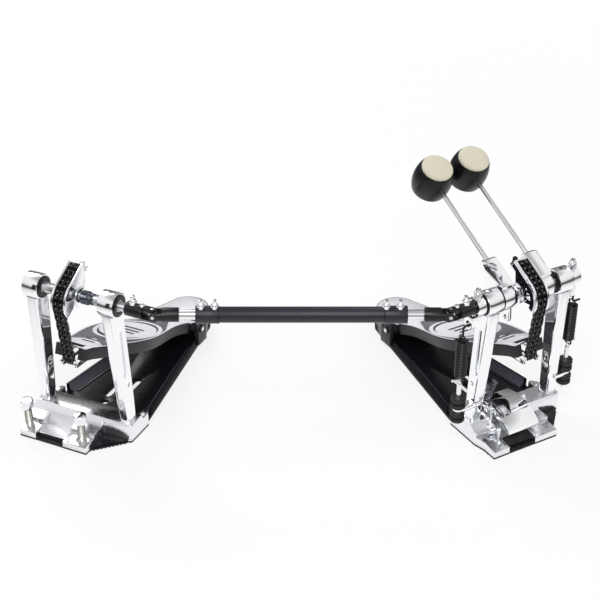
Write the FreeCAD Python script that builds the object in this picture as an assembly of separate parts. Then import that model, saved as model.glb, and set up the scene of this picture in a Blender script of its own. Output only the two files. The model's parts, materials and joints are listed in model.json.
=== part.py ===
"""Double bass drum pedal: a main unit, a slave unit and the telescoping drive shaft between them.

Each unit is drawn in its own frame: X along the axle, Y towards the heel, Z up, with the
origin on the floor under the middle of the axle. The main unit stays there, and the slave
unit is turned and moved to the far end of the drive shaft.
"""
import FreeCAD
import Part
import math
import os

# Clearances
overrun = 1.0
run_gap = 0.05
soft_gap = 0.3
pivot_gap = 0.5

# Base plate and rubber sole
sole_t = 2.0
plate_t = 2.0
lip_t = 2.0
lip_h = 9.5
lip_start_y = 46.0
base_half = 56.6
base_front_y = -38.0
base_wide_y = 40.0
base_tail_half = 26.0
base_tail_in = 6.0
base_end_over = 2.0
corner_cut = 32.0
slot_x = 8.5
slot_y = 78.0
slot_len = 46.0
slot_w = 8.0
hole_x = -4.0
hole_y = 45.0
hole_r = 4.0
plate_top = sole_t + plate_t

# Front bed with its two jaws
fork_x = -15.0
fork_half = 42.2
fork_front_y = -43.5
gap_x = -19.5
gap_half = 17.3
gap_front_y = -36.0
gap_front_z = 6.0
fork_tip_z = 9.0
fork_root_z = 11.0
step_y = -26.5
step_z = 16.0
step_in = 2.0
bed_half = 60.5
bed_top = 22.5
bed_front_y = -12.0
bed_rise_y = -3.0
bed_corner_y = -5.0
bed_shelf_y = 19.0
bed_back_y = 26.0
cheek_w = 9.0
cheek_end_y = 38.0
cheek_round = 6.0
bracket_t = 4.0
bracket_top = 22.0
bracket_back_y = -9.0

# Axle, posts and bearings
axle_z = 170.0
post_x = 46.0
ring_r = 14.0
ring_len = 18.0
post_foot_x = 51.5
post_foot_y = 6.0
foot_w = 13.0
foot_d = 15.0
waist_z = 60.0
waist_w = 14.0
waist_d = 17.0
neck_w = 15.0
neck_d = 22.0
post_round = 3.0
groove_w = 5.0
groove_deep = 2.5
groove_z0 = 84.0
groove_z1 = 136.0
post_hole_r = 2.5
post_hole_z = 70.0
bearing_r = 10.5
seal_r = 12.0
seal_t = 1.0
journal_r = 6.0
hex_af = 10.2

# Heel plate and its pin
heel_z = 24.2
pin_r = 3.0
pin_head_r = 5.0
pin_head_t = 1.6
ear_t = 5.5
ear_r = 7.0
heel_front = 8.8
heel_long = 35.5
heel_bow = 12.0
heel_top_z = 28.0
heel_skin = 3.0
heel_half = 36.0
heel_tail_half = 22.0

# Footboard
board_len = 231.0
toe_below = 61.8
toe_y = -15.5
board_h = 6.5
board_drop = 6.5
board_skin = 2.5
board_heel_half = 29.0
board_waist_half = 24.5
board_belly_half = 37.0
board_neck_half = 23.5
board_toe_half = 18.6
board_waist_share = 0.16
board_belly_share = 0.53
board_neck_share = 0.86
toe_bar_len = 14.0
toe_notch_half = 9.6
toe_notch_len = 14.0
tread_slot_w = 3.0
tread_slot_len = 15.0
tread_slot_back = 34.0
tread_slot_step = 9.0
tread_slots = 2

# The heel follows from the board: its toe stays under the chain, and a longer board lies flatter
board_rise = axle_z - toe_below - heel_z
board_tilt = math.degrees(math.asin(board_rise / board_len))
heel_y = toe_y + board_len * math.cos(math.radians(board_tilt))
heel_front_y = heel_y + heel_front
heel_tail_y = heel_front_y + heel_long
heel_end_y = heel_tail_y + heel_bow
base_tail_y = heel_tail_y - base_tail_in
base_end_y = heel_end_y + base_end_over

# Roller chain and cam
pitch = 6.35
nose_pitches = 4
top_pitches = 4
free_pitches = 11
fixed_links = 2
chain_tilt = 7.4
nose_r = 21.0
nose_out = 5.9
nose_up = -1.0
link_half = 2.9
link_t = 0.8
centre_t = 1.0
row_in = 1.45
row_out = 4.55
row_edge = 5.45
roller_r = 1.65
chain_pin_r = 0.95
chain_pin_half = 6.2
cam_half = 9.0
flange_t = 2.4
flange_over = 2.3
rim_t = 3.5
cam_low = -30.0
cam_end = 5.0
cam_hub_r = 11.0
cam_hub_half = 10.0
web_half = 4.0
rib_t = 2.0
ribs = 3
clevis_ear_t = 2.4
clevis_ear_r = 5.0
clevis_back = 30.0
clevis_plate_t = 3.0

# Beaters
swing_back = 64.0
main_beater_x = 21.0
second_beater_x = -27.0
holder_half = 7.5
holder_hub_r = 13.0
rod_off = 11.0
rod_r = 2.6
block_near = 2.0
main_block_far = 36.0
second_block_far = 42.0
block_half = 6.5
rod_start = 12.0
head_out = 157.0
head_r = 21.7
head_front_r = 18.4
head_back_r = 19.2
head_half = 16.0
face_r = 17.0
face_seat = 3.0
face_dome = 7.0
disc_r = 14.0
disc_t = 4.0
disc_up = 22.0
stop_plate_t = 4.0
stop_plate_w = 12.0
stop_hole_z = 24.0
stop_hole_r = 2.5

# Shaft ends, rockers and springs
shaft_gap = 1.0
pilot_r = 3.5
pilot_len = 17.0
second_end_x = -14.0
stub_r = 5.0
rocker_x0 = 57.0
rocker_x1 = 66.5
rocker_r = 11.0
arm_x0 = 58.5
arm_t = 5.0
second_arm_out = 8.0
arm_foot_z = 9.0
arm_drop = 18.0
arm_r = 6.8
hook_hole_r = 3.6
boss_r = 4.5
boss_rise = 15.0
hook_wire_r = 1.2
hook_bend = 3.0
hook_shank = 7.2
hook_inner = 1.9
hook_tail = 4.0
main_spring_x = 68.0
second_spring_x = 77.0
spring_r = 5.9
spring_wire_r = 0.75
coil_pitch = 1.95
coil_over = 40.5
eye_r = 3.2
rod_hook_r = 1.5
stem_r = 2.5
stem_low_z = 27.0
lug_z0 = 45.0
lug_z1 = 49.0
lug_r = 5.5
knob_r = 8.0
knob_high = 15.0
nut_high = 13.0
knob_groove_r = 6.6
knob_groove_w = 2.4

# Universal joints and drive shaft
joint_x = 95.0
joint_span = 301.5
main_bend = 30.0
slave_bend = 25.0
yoke_r = 7.5
yoke_ear_in = 4.6
yoke_ear_half = 4.0
yoke_throat = 9.5
yoke_len = 26.5
second_yoke_x = 68.0
slave_yoke_x = 65.0
cross_pin_r = 2.0
cross_half = 4.0
cross_reach = 7.1
drive_rod_r = 5.3
drive_rod_show = 17.0
drive_rod_in = 62.0
drive_rod_seat = 14.0
tube_r = 8.3
collar_r = 9.2
collar_len = 24.0

# Hoop clamp on the main unit and floor spurs on the slave unit
jaw_x = -12.0
jaw_half = 20.0
jaw_t = 4.5
jaw_lip_y = -34.0
jaw_lip_z = 17.0
jaw_pivot_y = 0.0
jaw_pivot_z = 30.5
jaw_back_y = 21.0
jaw_back_z = 29.5
jaw_knee_y = -20.0
jaw_knee_z = 26.0
jaw_ear_t = 4.0
trunnion_r = 3.0
jaw_screw_x = -25.0
jaw_screw_y = 13.0
jaw_screw_r = 3.5
jaw_screw_top = 47.0
jaw_tip_r = 2.5
jaw_tip_len = 2.0
wing_half = 9.0
wing_high = 10.0
wing_t = 4.5
spur_x = -17.2
spur_off = 33.7
spur_y = -33.0
spur_r = 4.0
spur_head_r = 7.5
spur_ball_r = 8.2
spur_head_t = 11.0
spur_stand = 21.0
spur_tip_z = 0.6
spur_tip_len = 3.0
spur_tip_r = 1.0


def vec(x, y, z):
    """A point or direction."""
    return FreeCAD.Vector(x, y, z)


AXIS_X = vec(1, 0, 0)
AXIS_Y = vec(0, 1, 0)
AXIS_Z = vec(0, 0, 1)


def slab(x0, x1, y0, y1, z0, z1):
    """A block between six planes."""
    return Part.makeBox(x1 - x0, y1 - y0, z1 - z0, vec(x0, y0, z0))


def rod(start, end, radius):
    """A round bar between two points."""
    way = end - start
    return Part.makeCylinder(radius, way.Length, start, way)


def rod_x(x0, x1, y, z, radius):
    """A round bar along X."""
    return rod(vec(x0, y, z), vec(x1, y, z), radius)


def rod_z(x, y, z0, z1, radius):
    """A round bar along Z."""
    return rod(vec(x, y, z0), vec(x, y, z1), radius)


def face_of(points):
    """A flat face with straight edges."""
    return Part.Face(Part.makePolygon(points + points[:1]))


def prism_x(outline, x0, x1):
    """An outline of (y, z) pairs drawn out along X."""
    return face_of([vec(x0, y, z) for y, z in outline]).extrude(vec(x1 - x0, 0, 0))


def prism_z(outline, z0, z1):
    """An outline of (x, y) pairs drawn out along Z."""
    return face_of([vec(x, y, z0) for x, y in outline]).extrude(vec(0, 0, z1 - z0))


def fused(shapes):
    """One solid from touching or crossing pieces."""
    return shapes[0].multiFuse(shapes[1:]).removeSplitter()


def turned(shape, angle, axis, centre):
    """A copy turned about an axis through a point."""
    copy = shape.copy()
    copy.rotate(centre, axis, angle)
    return copy


def moved(shape, way):
    """A copy moved by a vector."""
    copy = shape.copy()
    copy.translate(way)
    return copy


def mirrored(shape):
    """The left-hand twin of a right-hand piece."""
    return shape.mirror(vec(0, 0, 0), AXIS_X)


def group(shapes):
    """Separate solids kept in one node."""
    return Part.makeCompound(shapes)


def hex_bar(x0, x1, across):
    """A hexagonal bar along the axle."""
    corner = across / math.sqrt(3)
    turns = [math.radians(60 * step) for step in range(6)]
    outline = [(corner * math.cos(a), axle_z + corner * math.sin(a)) for a in turns]
    return prism_x(outline, x0, x1)


def stadium_x(ends, radius, x0, x1):
    """A round-ended plate across X, between two (y, z) centres."""
    (ya, za), (yb, zb) = ends
    along = vec(0, yb - ya, zb - za)
    side = along.cross(AXIS_X).normalize() * radius
    near, far = vec(x0, ya, za), vec(x0, yb, zb)
    bar = face_of([near + side, far + side, far - side, near - side]).extrude(vec(x1 - x0, 0, 0))
    return fused([bar, rod_x(x0, x1, ya, za, radius), rod_x(x0, x1, yb, zb, radius)])


def slot_z(x, y, length, width, z0, z1):
    """A round-ended slot along Y, cut along Z."""
    half = (length - width) / 2
    bar = slab(x - width / 2, x + width / 2, y - half, y + half, z0, z1)
    ends = [rod_z(x, y + way * half, z0, z1, width / 2) for way in (-1, 1)]
    return fused([bar] + ends)


def rounded_section(x, y, z, width, depth):
    """A rounded rectangle lying flat at a height, as a wire for a loft."""
    r = post_round
    bend = r - r / math.sqrt(2)
    x0, x1, y0, y1 = x - width / 2, x + width / 2, y - depth / 2, y + depth / 2
    sides = [
        ((x0 + r, y0), (x1 - r, y0), (x1 - bend, y0 + bend)),
        ((x1, y0 + r), (x1, y1 - r), (x1 - bend, y1 - bend)),
        ((x1 - r, y1), (x0 + r, y1), (x0 + bend, y1 - bend)),
        ((x0, y1 - r), (x0, y0 + r), (x0 + bend, y0 + bend)),
    ]
    edges = []
    for index, (start, end, middle) in enumerate(sides):
        after = sides[(index + 1) % len(sides)][0]
        edges.append(Part.makeLine(vec(*start, z), vec(*end, z)))
        edges.append(Part.Arc(vec(*end, z), vec(*middle, z), vec(*after, z)).toShape())
    return Part.Wire(edges)


def wire_bar(points, bends, radius):
    """A bent round bar through corner points, each corner rounded to its bend radius."""
    edges = []
    last = points[0]
    for before, corner, after, bend in zip(points, points[1:], points[2:], bends):
        back = (before - corner).normalize()
        ahead = (after - corner).normalize()
        half = back.getAngle(ahead) / 2
        reach = bend / math.tan(half)
        middle = (back + ahead).normalize() * (bend / math.sin(half) - bend)
        edges.append(Part.makeLine(last, corner + back * reach))
        last = corner + ahead * reach
        edges.append(Part.Arc(corner + back * reach, corner + middle, last).toShape())
    edges.append(Part.makeLine(last, points[-1]))
    return piped(edges, radius)


def piped(edges, radius):
    """A round tube along joined edges."""
    path = Part.Wire(edges)
    start = edges[0].valueAt(edges[0].FirstParameter)
    way = edges[0].tangentAt(edges[0].FirstParameter)
    ring = Part.Wire([Part.Circle(start, way, radius).toShape()])
    return path.makePipeShell([ring], True, False)


# Base plate and sole

def base_face(z):
    """The floor outline of a unit: chamfered right front corner, tapered sides, round tail."""
    low = vec(base_tail_half, base_tail_y, z)
    high = vec(-base_tail_half, base_tail_y, z)
    corners = [
        high,
        vec(-base_half, base_wide_y, z),
        vec(-base_half, base_front_y, z),
        vec(base_half - corner_cut, base_front_y, z),
        vec(base_half, base_front_y + corner_cut, z),
        vec(base_half, base_wide_y, z),
        low,
    ]
    edges = [Part.makeLine(a, b) for a, b in zip(corners, corners[1:])]
    edges.append(Part.Arc(low, vec(0, base_end_y, z), high).toShape())
    return Part.Face(Part.Wire(edges))


def base_cuts(z0, z1):
    """The slots and the hole that go right through plate and sole."""
    slots = [slot_z(way * slot_x, slot_y, slot_len, slot_w, z0, z1) for way in (-1, 1)]
    return slots + [rod_z(hole_x, hole_y, z0, z1, hole_r)]


def sole(spurred):
    """The rubber sheet that meets the floor."""
    sheet = base_face(0).extrude(vec(0, 0, sole_t))
    return sheet.cut(base_cuts(-overrun, sole_t + overrun) + spur_holes(spurred))


def base_plate(spurred):
    """The steel plate with folded lips along its tapered sides."""
    face = base_face(sole_t)
    plate = face.extrude(vec(0, 0, plate_t))
    inner = face.makeOffset2D(-lip_t)
    lips = face.cut(inner).extrude(vec(0, 0, plate_t + lip_h))
    lip_end = heel_y - ear_r - soft_gap
    keep = slab(-base_half, base_half, lip_start_y, lip_end, sole_t, plate_top + lip_h)
    whole = fused([plate, lips.common(keep)])
    return whole.cut(base_cuts(sole_t - overrun, plate_top + overrun) + spur_holes(spurred))


# Front bed, posts and bearings

def bed_profile(front):
    """The bed's section from its front edge, given as (y, z) pairs, up over the shelf to the back."""
    return front + [
        (bed_front_y, step_z),
        (bed_rise_y, bed_top),
        (bed_shelf_y, bed_top),
        (bed_back_y, plate_top),
    ]


def cheek(way):
    """The low wall at one end of the bed, behind its post."""
    outer, inner = way * bed_half, way * (bed_half - cheek_w)
    outline = [
        (inner, bed_shelf_y),
        (outer, bed_shelf_y),
        (outer, cheek_end_y - cheek_round),
        (outer - way * cheek_round, cheek_end_y),
        (inner, cheek_end_y),
    ]
    return prism_z(outline, plate_top, step_z)


def bed():
    """The cast bed under the posts: stepped jaws with a ramp between, end cheeks and one open corner."""
    jaws = bed_profile([
        (fork_front_y, plate_top),
        (fork_front_y, fork_tip_z),
        (step_y, fork_root_z),
        (step_y, step_z),
    ])
    ramp = bed_profile([(gap_front_y, plate_top), (gap_front_y, gap_front_z)])
    left, right = fork_x - fork_half, fork_x + fork_half
    near, far = gap_x - gap_half, gap_x + gap_half
    plan = [
        (-bed_half, bed_back_y),
        (-bed_half, bed_front_y),
        (left, step_y),
        (left, fork_front_y),
        (near, fork_front_y),
        (near, bed_back_y),
        (far, bed_back_y),
        (far, fork_front_y),
        (right, fork_front_y),
        (right, bed_corner_y - step_in),
        (bed_half - step_in, bed_corner_y),
        (bed_half, bed_corner_y + step_in),
        (bed_half, bed_back_y),
    ]
    solid = prism_x(jaws, -bed_half, bed_half).common(prism_z(plan, plate_top, bed_top))
    return fused([solid, prism_x(ramp, near, far), cheek(-1), cheek(1)])


def bracket():
    """The upright wall beside the main unit's left jaw that takes the clamp's side bolt."""
    x1 = gap_x - gap_half
    outline = [
        (step_y, step_z - step_in),
        (step_y, bracket_top - step_in),
        (step_y + step_in, bracket_top),
        (bracket_back_y, bracket_top),
        (bracket_back_y, step_z - step_in),
    ]
    return prism_x(outline, x1 - bracket_t, x1)


def side_pocket():
    """The cut that opens the main unit's left step beside its bracket, so that the bolt can be reached."""
    x1 = gap_x - gap_half - bracket_t
    return slab(-bed_half - overrun, x1, step_y - overrun, bed_front_y - step_in, fork_root_z, bed_top)


def jaw_ears():
    """The two lugs on the main bed that carry the clamp's trunnions."""
    ears = []
    for way in (-1, 1):
        inner = jaw_x + way * (jaw_half + soft_gap)
        outer = inner + way * jaw_ear_t
        x0, x1 = min(inner, outer), max(inner, outer)
        foot = step_z - step_in
        lug = stadium_x(((jaw_pivot_y, foot), (jaw_pivot_y, jaw_pivot_z)), 2 * trunnion_r, x0, x1)
        above = slab(x0, x1, bed_front_y, bed_shelf_y, foot, jaw_pivot_z + 2 * trunnion_r)
        hole = rod_x(x0 - overrun, x1 + overrun, jaw_pivot_y, jaw_pivot_z, trunnion_r + run_gap)
        ears.append(lug.common(above).cut(hole))
    return ears


def spur_places():
    """Where the slave unit's spurs go through its two jaws."""
    return [spur_x - spur_off, spur_x + spur_off]


def spur_holes(spurred):
    """Cutters for the spurs' way through the base, for the unit that has them."""
    places = spur_places() if spurred else []
    return [rod_z(x, spur_y, -overrun, bed_top, spur_r + soft_gap) for x in places]


def main_bed():
    """The main unit's bed with the clamp's lugs and side bracket."""
    return fused([bed().cut(side_pocket()), bracket()] + jaw_ears())


def slave_bed():
    """The slave unit's bed with its spur holes."""
    holes = [rod_z(x, spur_y, 0, bed_top, spur_r + run_gap) for x in spur_places()]
    return bed().cut(holes)


def post(lug_x):
    """A right-hand post: tapered column, bearing ring, side groove and a spring lug unless lug_x is zero."""
    rise = (waist_z - bed_top) / (axle_z - bed_top)
    waist_x = post_foot_x + (post_x - post_foot_x) * rise
    waist_y = post_foot_y * (1 - rise)
    column = Part.makeLoft(
        [
            rounded_section(post_foot_x, post_foot_y, bed_top, foot_w, foot_d),
            rounded_section(waist_x, waist_y, waist_z, waist_w, waist_d),
            rounded_section(post_x, 0, axle_z - bearing_r, neck_w, neck_d),
        ],
        True,
        True,
    )
    ring = rod_x(post_x - ring_len / 2, post_x + ring_len / 2, 0, axle_z, ring_r)
    pieces = [column, ring]
    if lug_x:
        tongue = slab(waist_x, lug_x, -lug_r, lug_r, lug_z0, lug_z1)
        pieces += [tongue, rod_z(lug_x, 0, lug_z0, lug_z1, lug_r)]
    body = fused(pieces)
    lean = math.degrees(math.atan2(post_foot_x - post_x, axle_z - bed_top))
    face_x = post_x + neck_w / 2
    groove = stadium_x(
        ((0, groove_z0), (0, groove_z1)), groove_w / 2, face_x - groove_deep, face_x + ring_len
    )
    groove = turned(groove, -lean, AXIS_Y, vec(face_x, 0, axle_z))
    cuts = [
        rod_x(0, post_x + ring_len, 0, axle_z, bearing_r + run_gap),
        groove,
        rod_x(0, post_foot_x + foot_w, waist_y, post_hole_z, post_hole_r),
    ]
    if lug_x:
        cuts.append(rod_z(lug_x, 0, lug_z0 - overrun, lug_z1 + overrun, stem_r + run_gap))
    return body.cut(cuts)


def bearing():
    """The bearing in a right-hand ring: sleeve and two black seals."""
    x0, x1 = post_x - ring_len / 2, post_x + ring_len / 2
    sleeve = rod_x(x0 - seal_t, x1 + seal_t, 0, axle_z, bearing_r)
    seals = [rod_x(x0 - seal_t, x0, 0, axle_z, seal_r), rod_x(x1, x1 + seal_t, 0, axle_z, seal_r)]
    bore = rod_x(x0 - ring_len, x1 + ring_len, 0, axle_z, journal_r + run_gap)
    return fused([sleeve] + seals).cut(bore)


def bearings():
    """Both bearings of a unit."""
    return group([bearing(), mirrored(bearing())])


# Heel plate, pin and footboard

def heel_face(half, tail_half, end_y, z):
    """The heel plate's outline: straight front, tapered sides, round back."""
    right = vec(tail_half, heel_tail_y, z)
    left = vec(-tail_half, heel_tail_y, z)
    corners = [left, vec(-half, heel_front_y, z), vec(half, heel_front_y, z), right]
    edges = [Part.makeLine(a, b) for a, b in zip(corners, corners[1:])]
    edges.append(Part.Arc(right, vec(0, end_y, z), left).toShape())
    return Part.Face(Part.Wire(edges))


def heel_plate():
    """The hollow heel casting with the two ears that hold the hinge pin."""
    high = heel_top_z - plate_top
    shell = heel_face(heel_half, heel_tail_half, heel_end_y, plate_top).extrude(vec(0, 0, high))
    inside = heel_face(heel_half, heel_tail_half, heel_end_y, plate_top).makeOffset2D(-heel_skin)
    shell = shell.cut(inside.extrude(vec(0, 0, high - heel_skin)))
    pieces = [shell]
    for way in (-1, 1):
        outer = way * heel_half
        inner = way * (heel_half - ear_t)
        x0, x1 = min(inner, outer), max(inner, outer)
        pieces.append(rod_x(x0, x1, heel_y, heel_z, ear_r))
        pieces.append(slab(x0, x1, heel_y - ear_r, heel_front_y + heel_skin, plate_top, heel_z))
    hole = rod_x(-heel_half - overrun, heel_half + overrun, heel_y, heel_z, pin_r + run_gap)
    return fused(pieces).cut(hole)


def heel_pin():
    """The hinge pin with a flat head at each end."""
    heads = []
    for way in (-1, 1):
        near = way * (heel_half + run_gap)
        heads.append(rod_x(near, near + way * pin_head_t, heel_y, heel_z, pin_head_r))
    return fused([rod_x(-heel_half - pin_head_t, heel_half + pin_head_t, heel_y, heel_z, pin_r)] + heads)


def board_side(way, inset):
    """One long edge of the footboard, from toe to heel, as a smooth curve."""
    shares = (board_neck_share, board_belly_share, board_waist_share)
    halves = (board_neck_half, board_belly_half, board_waist_half)
    points = [vec(way * (board_toe_half - inset), -board_len + toe_bar_len, 0)]
    points += [vec(way * (half - inset), -board_len * share, 0) for half, share in zip(halves, shares)]
    points.append(vec(way * (board_heel_half - inset), 0, 0))
    curve = Part.BSplineCurve()
    curve.interpolate(points)
    return curve.toShape(), points[0], points[-1]


def board_face(inset, z):
    """The footboard's outline with its square toe bar, drawn flat from the heel pin towards the toe."""
    right, right_toe, right_heel = board_side(1, inset)
    left, left_toe, left_heel = board_side(-1, inset)
    front = -board_len + inset
    corner_right = vec(right_toe.x, front, 0)
    corner_left = vec(left_toe.x, front, 0)
    edges = [
        left,
        Part.makeLine(left_heel, right_heel),
        right,
        Part.makeLine(right_toe, corner_right),
        Part.makeLine(corner_right, corner_left),
        Part.makeLine(corner_left, left_toe),
    ]
    return moved(Part.Face(Part.Wire(Part.__sortEdges__(edges))), vec(0, 0, z))


def laid_board(shape):
    """A piece drawn flat from the heel pin, put at the footboard's rest slope."""
    tilted = turned(shape, -board_tilt, AXIS_X, vec(0, 0, 0))
    return moved(tilted, vec(0, heel_y, heel_z))


def footboard():
    """The board with its downturned skirt, toe notch, tread slots and hinge knuckle."""
    high = board_h + board_drop
    outer = board_face(0, -board_drop).extrude(vec(0, 0, high))
    inner = board_face(board_skin, -board_drop).extrude(vec(0, 0, high - board_skin))
    reach = board_heel_half + overrun
    clear = slab(-reach, reach, -2 * board_h, overrun, -board_drop - overrun, board_h - board_skin)
    shell = outer.cut([inner, clear])
    barrel = rod_x(-board_heel_half, board_heel_half, 0, 0, board_h)
    half = board_heel_half
    web = slab(-half, half, -2 * board_h - board_skin, 0, board_h - board_skin, board_h)
    body = fused([shell, barrel, web])
    notch = slab(
        -toe_notch_half, toe_notch_half, -board_len - overrun, -board_len + toe_notch_len,
        -board_drop - overrun, board_h + overrun,
    )
    cuts = [notch, rod_x(-reach, reach, 0, 0, pin_r + run_gap)]
    for row in range(tread_slots):
        y0 = -board_len + tread_slot_back + row * tread_slot_step - tread_slot_w / 2
        x0 = -tread_slot_len / 2
        cuts.append(slab(x0, x0 + tread_slot_len, y0, y0 + tread_slot_w, 0, board_h + overrun))
    return laid_board(body.cut(cuts))


# Roller chain, cam and toe clevis

def nose_point(radius, angle):
    """A (y, z) place on a circle round the cam's nose, with angles counted upwards from straight ahead."""
    a = math.radians(angle)
    return -nose_out - radius * math.cos(a), axle_z + nose_up + radius * math.sin(a)


def nose_step():
    """The angle that one link takes up on the nose."""
    return math.degrees(2 * math.asin(pitch / (2 * nose_r)))


def nose_end():
    """The angle where the nose passes into the cam's straight top."""
    return nose_pitches * nose_step() - chain_tilt


def top_point(radius, length):
    """A (y, z) place on the straight top, a length on from the nose."""
    a = math.radians(nose_end())
    y, z = nose_point(radius, nose_end())
    return y + length * math.sin(a), z + length * math.cos(a)


def chain_pins():
    """The (y, z) places of every chain pin, from the cam's anchor down to the toe."""
    top = [top_point(nose_r, k * pitch) for k in range(top_pitches, 0, -1)]
    nose = [nose_point(nose_r, nose_step() * k - chain_tilt) for k in range(nose_pitches, 0, -1)]
    y, z = nose_point(nose_r, -chain_tilt)
    a = math.radians(chain_tilt)
    free = [(y + k * pitch * math.sin(a), z - k * pitch * math.cos(a)) for k in range(free_pitches + 1)]
    return top + nose + free


def link_plate(x, thick):
    """One side plate, drawn along Y from its first pin."""
    return stadium_x(((0, 0), (pitch, 0)), link_half, x - thick / 2, x + thick / 2)


def inner_link():
    """Two rollers per row between their plates, bored for the pins."""
    plates = [link_plate(way * row, link_t) for way in (-1, 1) for row in (row_in, row_out)]
    rollers = [
        rod_x(way * row_in, way * row_out, y, 0, roller_r) for way in (-1, 1) for y in (0, pitch)
    ]
    bores = [rod_x(-chain_pin_half, chain_pin_half, y, 0, chain_pin_r + run_gap) for y in (0, pitch)]
    halves = [fused(plates[:2] + rollers[:2]), fused(plates[2:] + rollers[2:])]
    return group([half.cut(bores) for half in halves])


def outer_link():
    """Three plates held by two pins that run through both rows."""
    plates = [link_plate(0, centre_t), link_plate(-row_edge, link_t), link_plate(row_edge, link_t)]
    pins = [rod_x(-chain_pin_half, chain_pin_half, y, 0, chain_pin_r) for y in (0, pitch)]
    return fused(plates + pins)


def chain(first, last):
    """The links from one pin number to another, each turned to lie between its two pins."""
    kinds = (inner_link(), outer_link())
    pins = chain_pins()
    links = []
    for index in range(first, last):
        (ya, za), (yb, zb) = pins[index], pins[index + 1]
        angle = math.degrees(math.atan2(zb - za, yb - ya))
        link = turned(kinds[index % 2], angle, AXIS_X, vec(0, 0, 0))
        links += moved(link, vec(0, ya, za)).Solids
    return group(links)


def cam_edge(radius, x):
    """The cam's working edge at a radius from its nose: an arc, then the straight top."""
    low, high = cam_low, nose_end()
    start, middle, end = (vec(x, *nose_point(radius, a)) for a in (low, (low + high) / 2, high))
    tip = vec(x, *top_point(radius, top_pitches * pitch + cam_end))
    return [Part.Arc(start, middle, end).toShape(), Part.makeLine(end, tip)], start, tip


def cam_band(inner, outer, x0, x1):
    """A band along the cam's edge, between two radii from its nose."""
    near, near_start, near_tip = cam_edge(inner, x0)
    far, far_start, far_tip = cam_edge(outer, x0)
    ends = [Part.makeLine(near_start, far_start), Part.makeLine(near_tip, far_tip)]
    wire = Part.Wire(Part.__sortEdges__(near + far + ends))
    return Part.Face(wire).extrude(vec(x1 - x0, 0, 0))


def cam_plate(radius, x0, x1):
    """A full plate from the cam's edge back to its hub."""
    edges, start, tip = cam_edge(radius, x0)
    behind = vec(x0, cam_hub_r, axle_z)
    below = vec(x0, 0, axle_z - cam_hub_r)
    edges += [Part.makeLine(a, b) for a, b in ((tip, behind), (behind, below), (below, start))]
    return Part.Face(Part.Wire(edges)).extrude(vec(x1 - x0, 0, 0))


def cam():
    """The chain cam: hub, ribbed web, rim, left flange, full right side and the chain's anchor pin."""
    seat = nose_r - link_half - soft_gap
    root = seat - rim_t
    edge = nose_r + flange_over
    side = cam_half - flange_t
    pieces = [
        rod_x(-cam_hub_half, cam_hub_half, 0, axle_z, cam_hub_r),
        cam_band(root, seat, -cam_half, side),
        cam_band(root, edge, -cam_half, -side),
        cam_plate(edge, side, cam_half),
        cam_plate(root, -web_half, side),
    ]
    gap = (nose_end() - cam_low) / ribs
    for index in range(ribs):
        y, z = nose_point(root, cam_low + gap * (index + 1))
        way = math.degrees(math.atan2(z - axle_z, -y))
        reach = math.hypot(y, z - axle_z) + rim_t / 2
        rib = slab(-side, -web_half, -reach, -cam_hub_r / 2, axle_z - rib_t / 2, axle_z + rib_t / 2)
        pieces.append(turned(rib, -way, AXIS_X, vec(0, 0, axle_z)))
    y, z = chain_pins()[0]
    pieces.append(rod_x(-cam_half, cam_half, y, z, chain_pin_r))
    reach = cam_hub_half + overrun
    return fused(pieces).cut(hex_bar(-reach, reach, hex_af + 2 * run_gap))


def toe_clevis():
    """The chrome bracket under the toe: a plate against the board and two ears with the chain's last pin."""
    toe_y, toe_z = chain_pins()[-1]
    a = math.radians(board_tilt)
    dy, dz = toe_y - heel_y, toe_z - heel_z
    along = dy * math.cos(a) - dz * math.sin(a)
    above = dy * math.sin(a) + dz * math.cos(a)
    seat = board_h - board_skin
    back = -board_len + toe_notch_len + clevis_back
    plate = slab(
        -toe_notch_half - clevis_ear_t, toe_notch_half + clevis_ear_t, -board_len + toe_notch_len, back,
        seat - clevis_plate_t, seat,
    )
    pieces = [plate, rod_x(-toe_notch_half, toe_notch_half, along, above, chain_pin_r)]
    for way in (-1, 1):
        inner = way * (toe_notch_half - clevis_ear_t)
        outer = way * (toe_notch_half - soft_gap)
        x0, x1 = min(inner, outer), max(inner, outer)
        heel_end = (back - clevis_ear_r, seat - clevis_ear_r)
        pieces.append(stadium_x(((along, above), heel_end), clevis_ear_r, x0, x1))
    bar = fused(pieces)
    lid = slab(-board_len, board_len, -2 * board_len, 0, seat, board_len)
    return laid_board(bar.cut(lid))


# Beaters

def swung(shape):
    """A piece drawn with its rod straight up, leaned back to the rest angle."""
    return turned(shape, -swing_back, AXIS_X, vec(0, 0, axle_z))


def holder(x, block_far, with_stop):
    """The hub and block that clamp a beater rod to the axle, and the second beater's disc and stop plate."""
    x0, x1 = x - holder_half, x + holder_half
    hub = rod_x(x0, x1, 0, axle_z, holder_hub_r)
    flank = block_half / 2
    outline = [
        (holder_hub_r, axle_z),
        (-rod_off - block_half, axle_z + block_near),
        (-rod_off - block_half, axle_z + block_far - flank),
        (-rod_off - flank, axle_z + block_far),
        (-rod_off + flank, axle_z + block_far),
        (-rod_off + block_half, axle_z + block_far - flank),
    ]
    block = prism_x(outline, x0, x1)
    body = fused([hub, block])
    bores = [
        hex_bar(x0 - overrun, x1 + overrun, hex_af + 2 * run_gap),
        rod_z(x, -rod_off, axle_z + rod_start - overrun, axle_z + block_far + overrun, rod_r + run_gap),
    ]
    body = swung(body)
    if with_stop:
        plate = stadium_x(((0, axle_z), (0, axle_z - stop_hole_z)), stop_plate_w / 2, x1 - stop_plate_t, x1)
        disc = rod_x(x0, x0 + disc_t, -rod_off, axle_z + disc_up, disc_r)
        body = fused([body, plate, swung(disc)])
        bores.append(rod_x(x0, x1 + overrun, 0, axle_z - stop_hole_z, stop_hole_r))
    return body.cut([bores[0], swung(bores[1])] + bores[2:])


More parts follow.
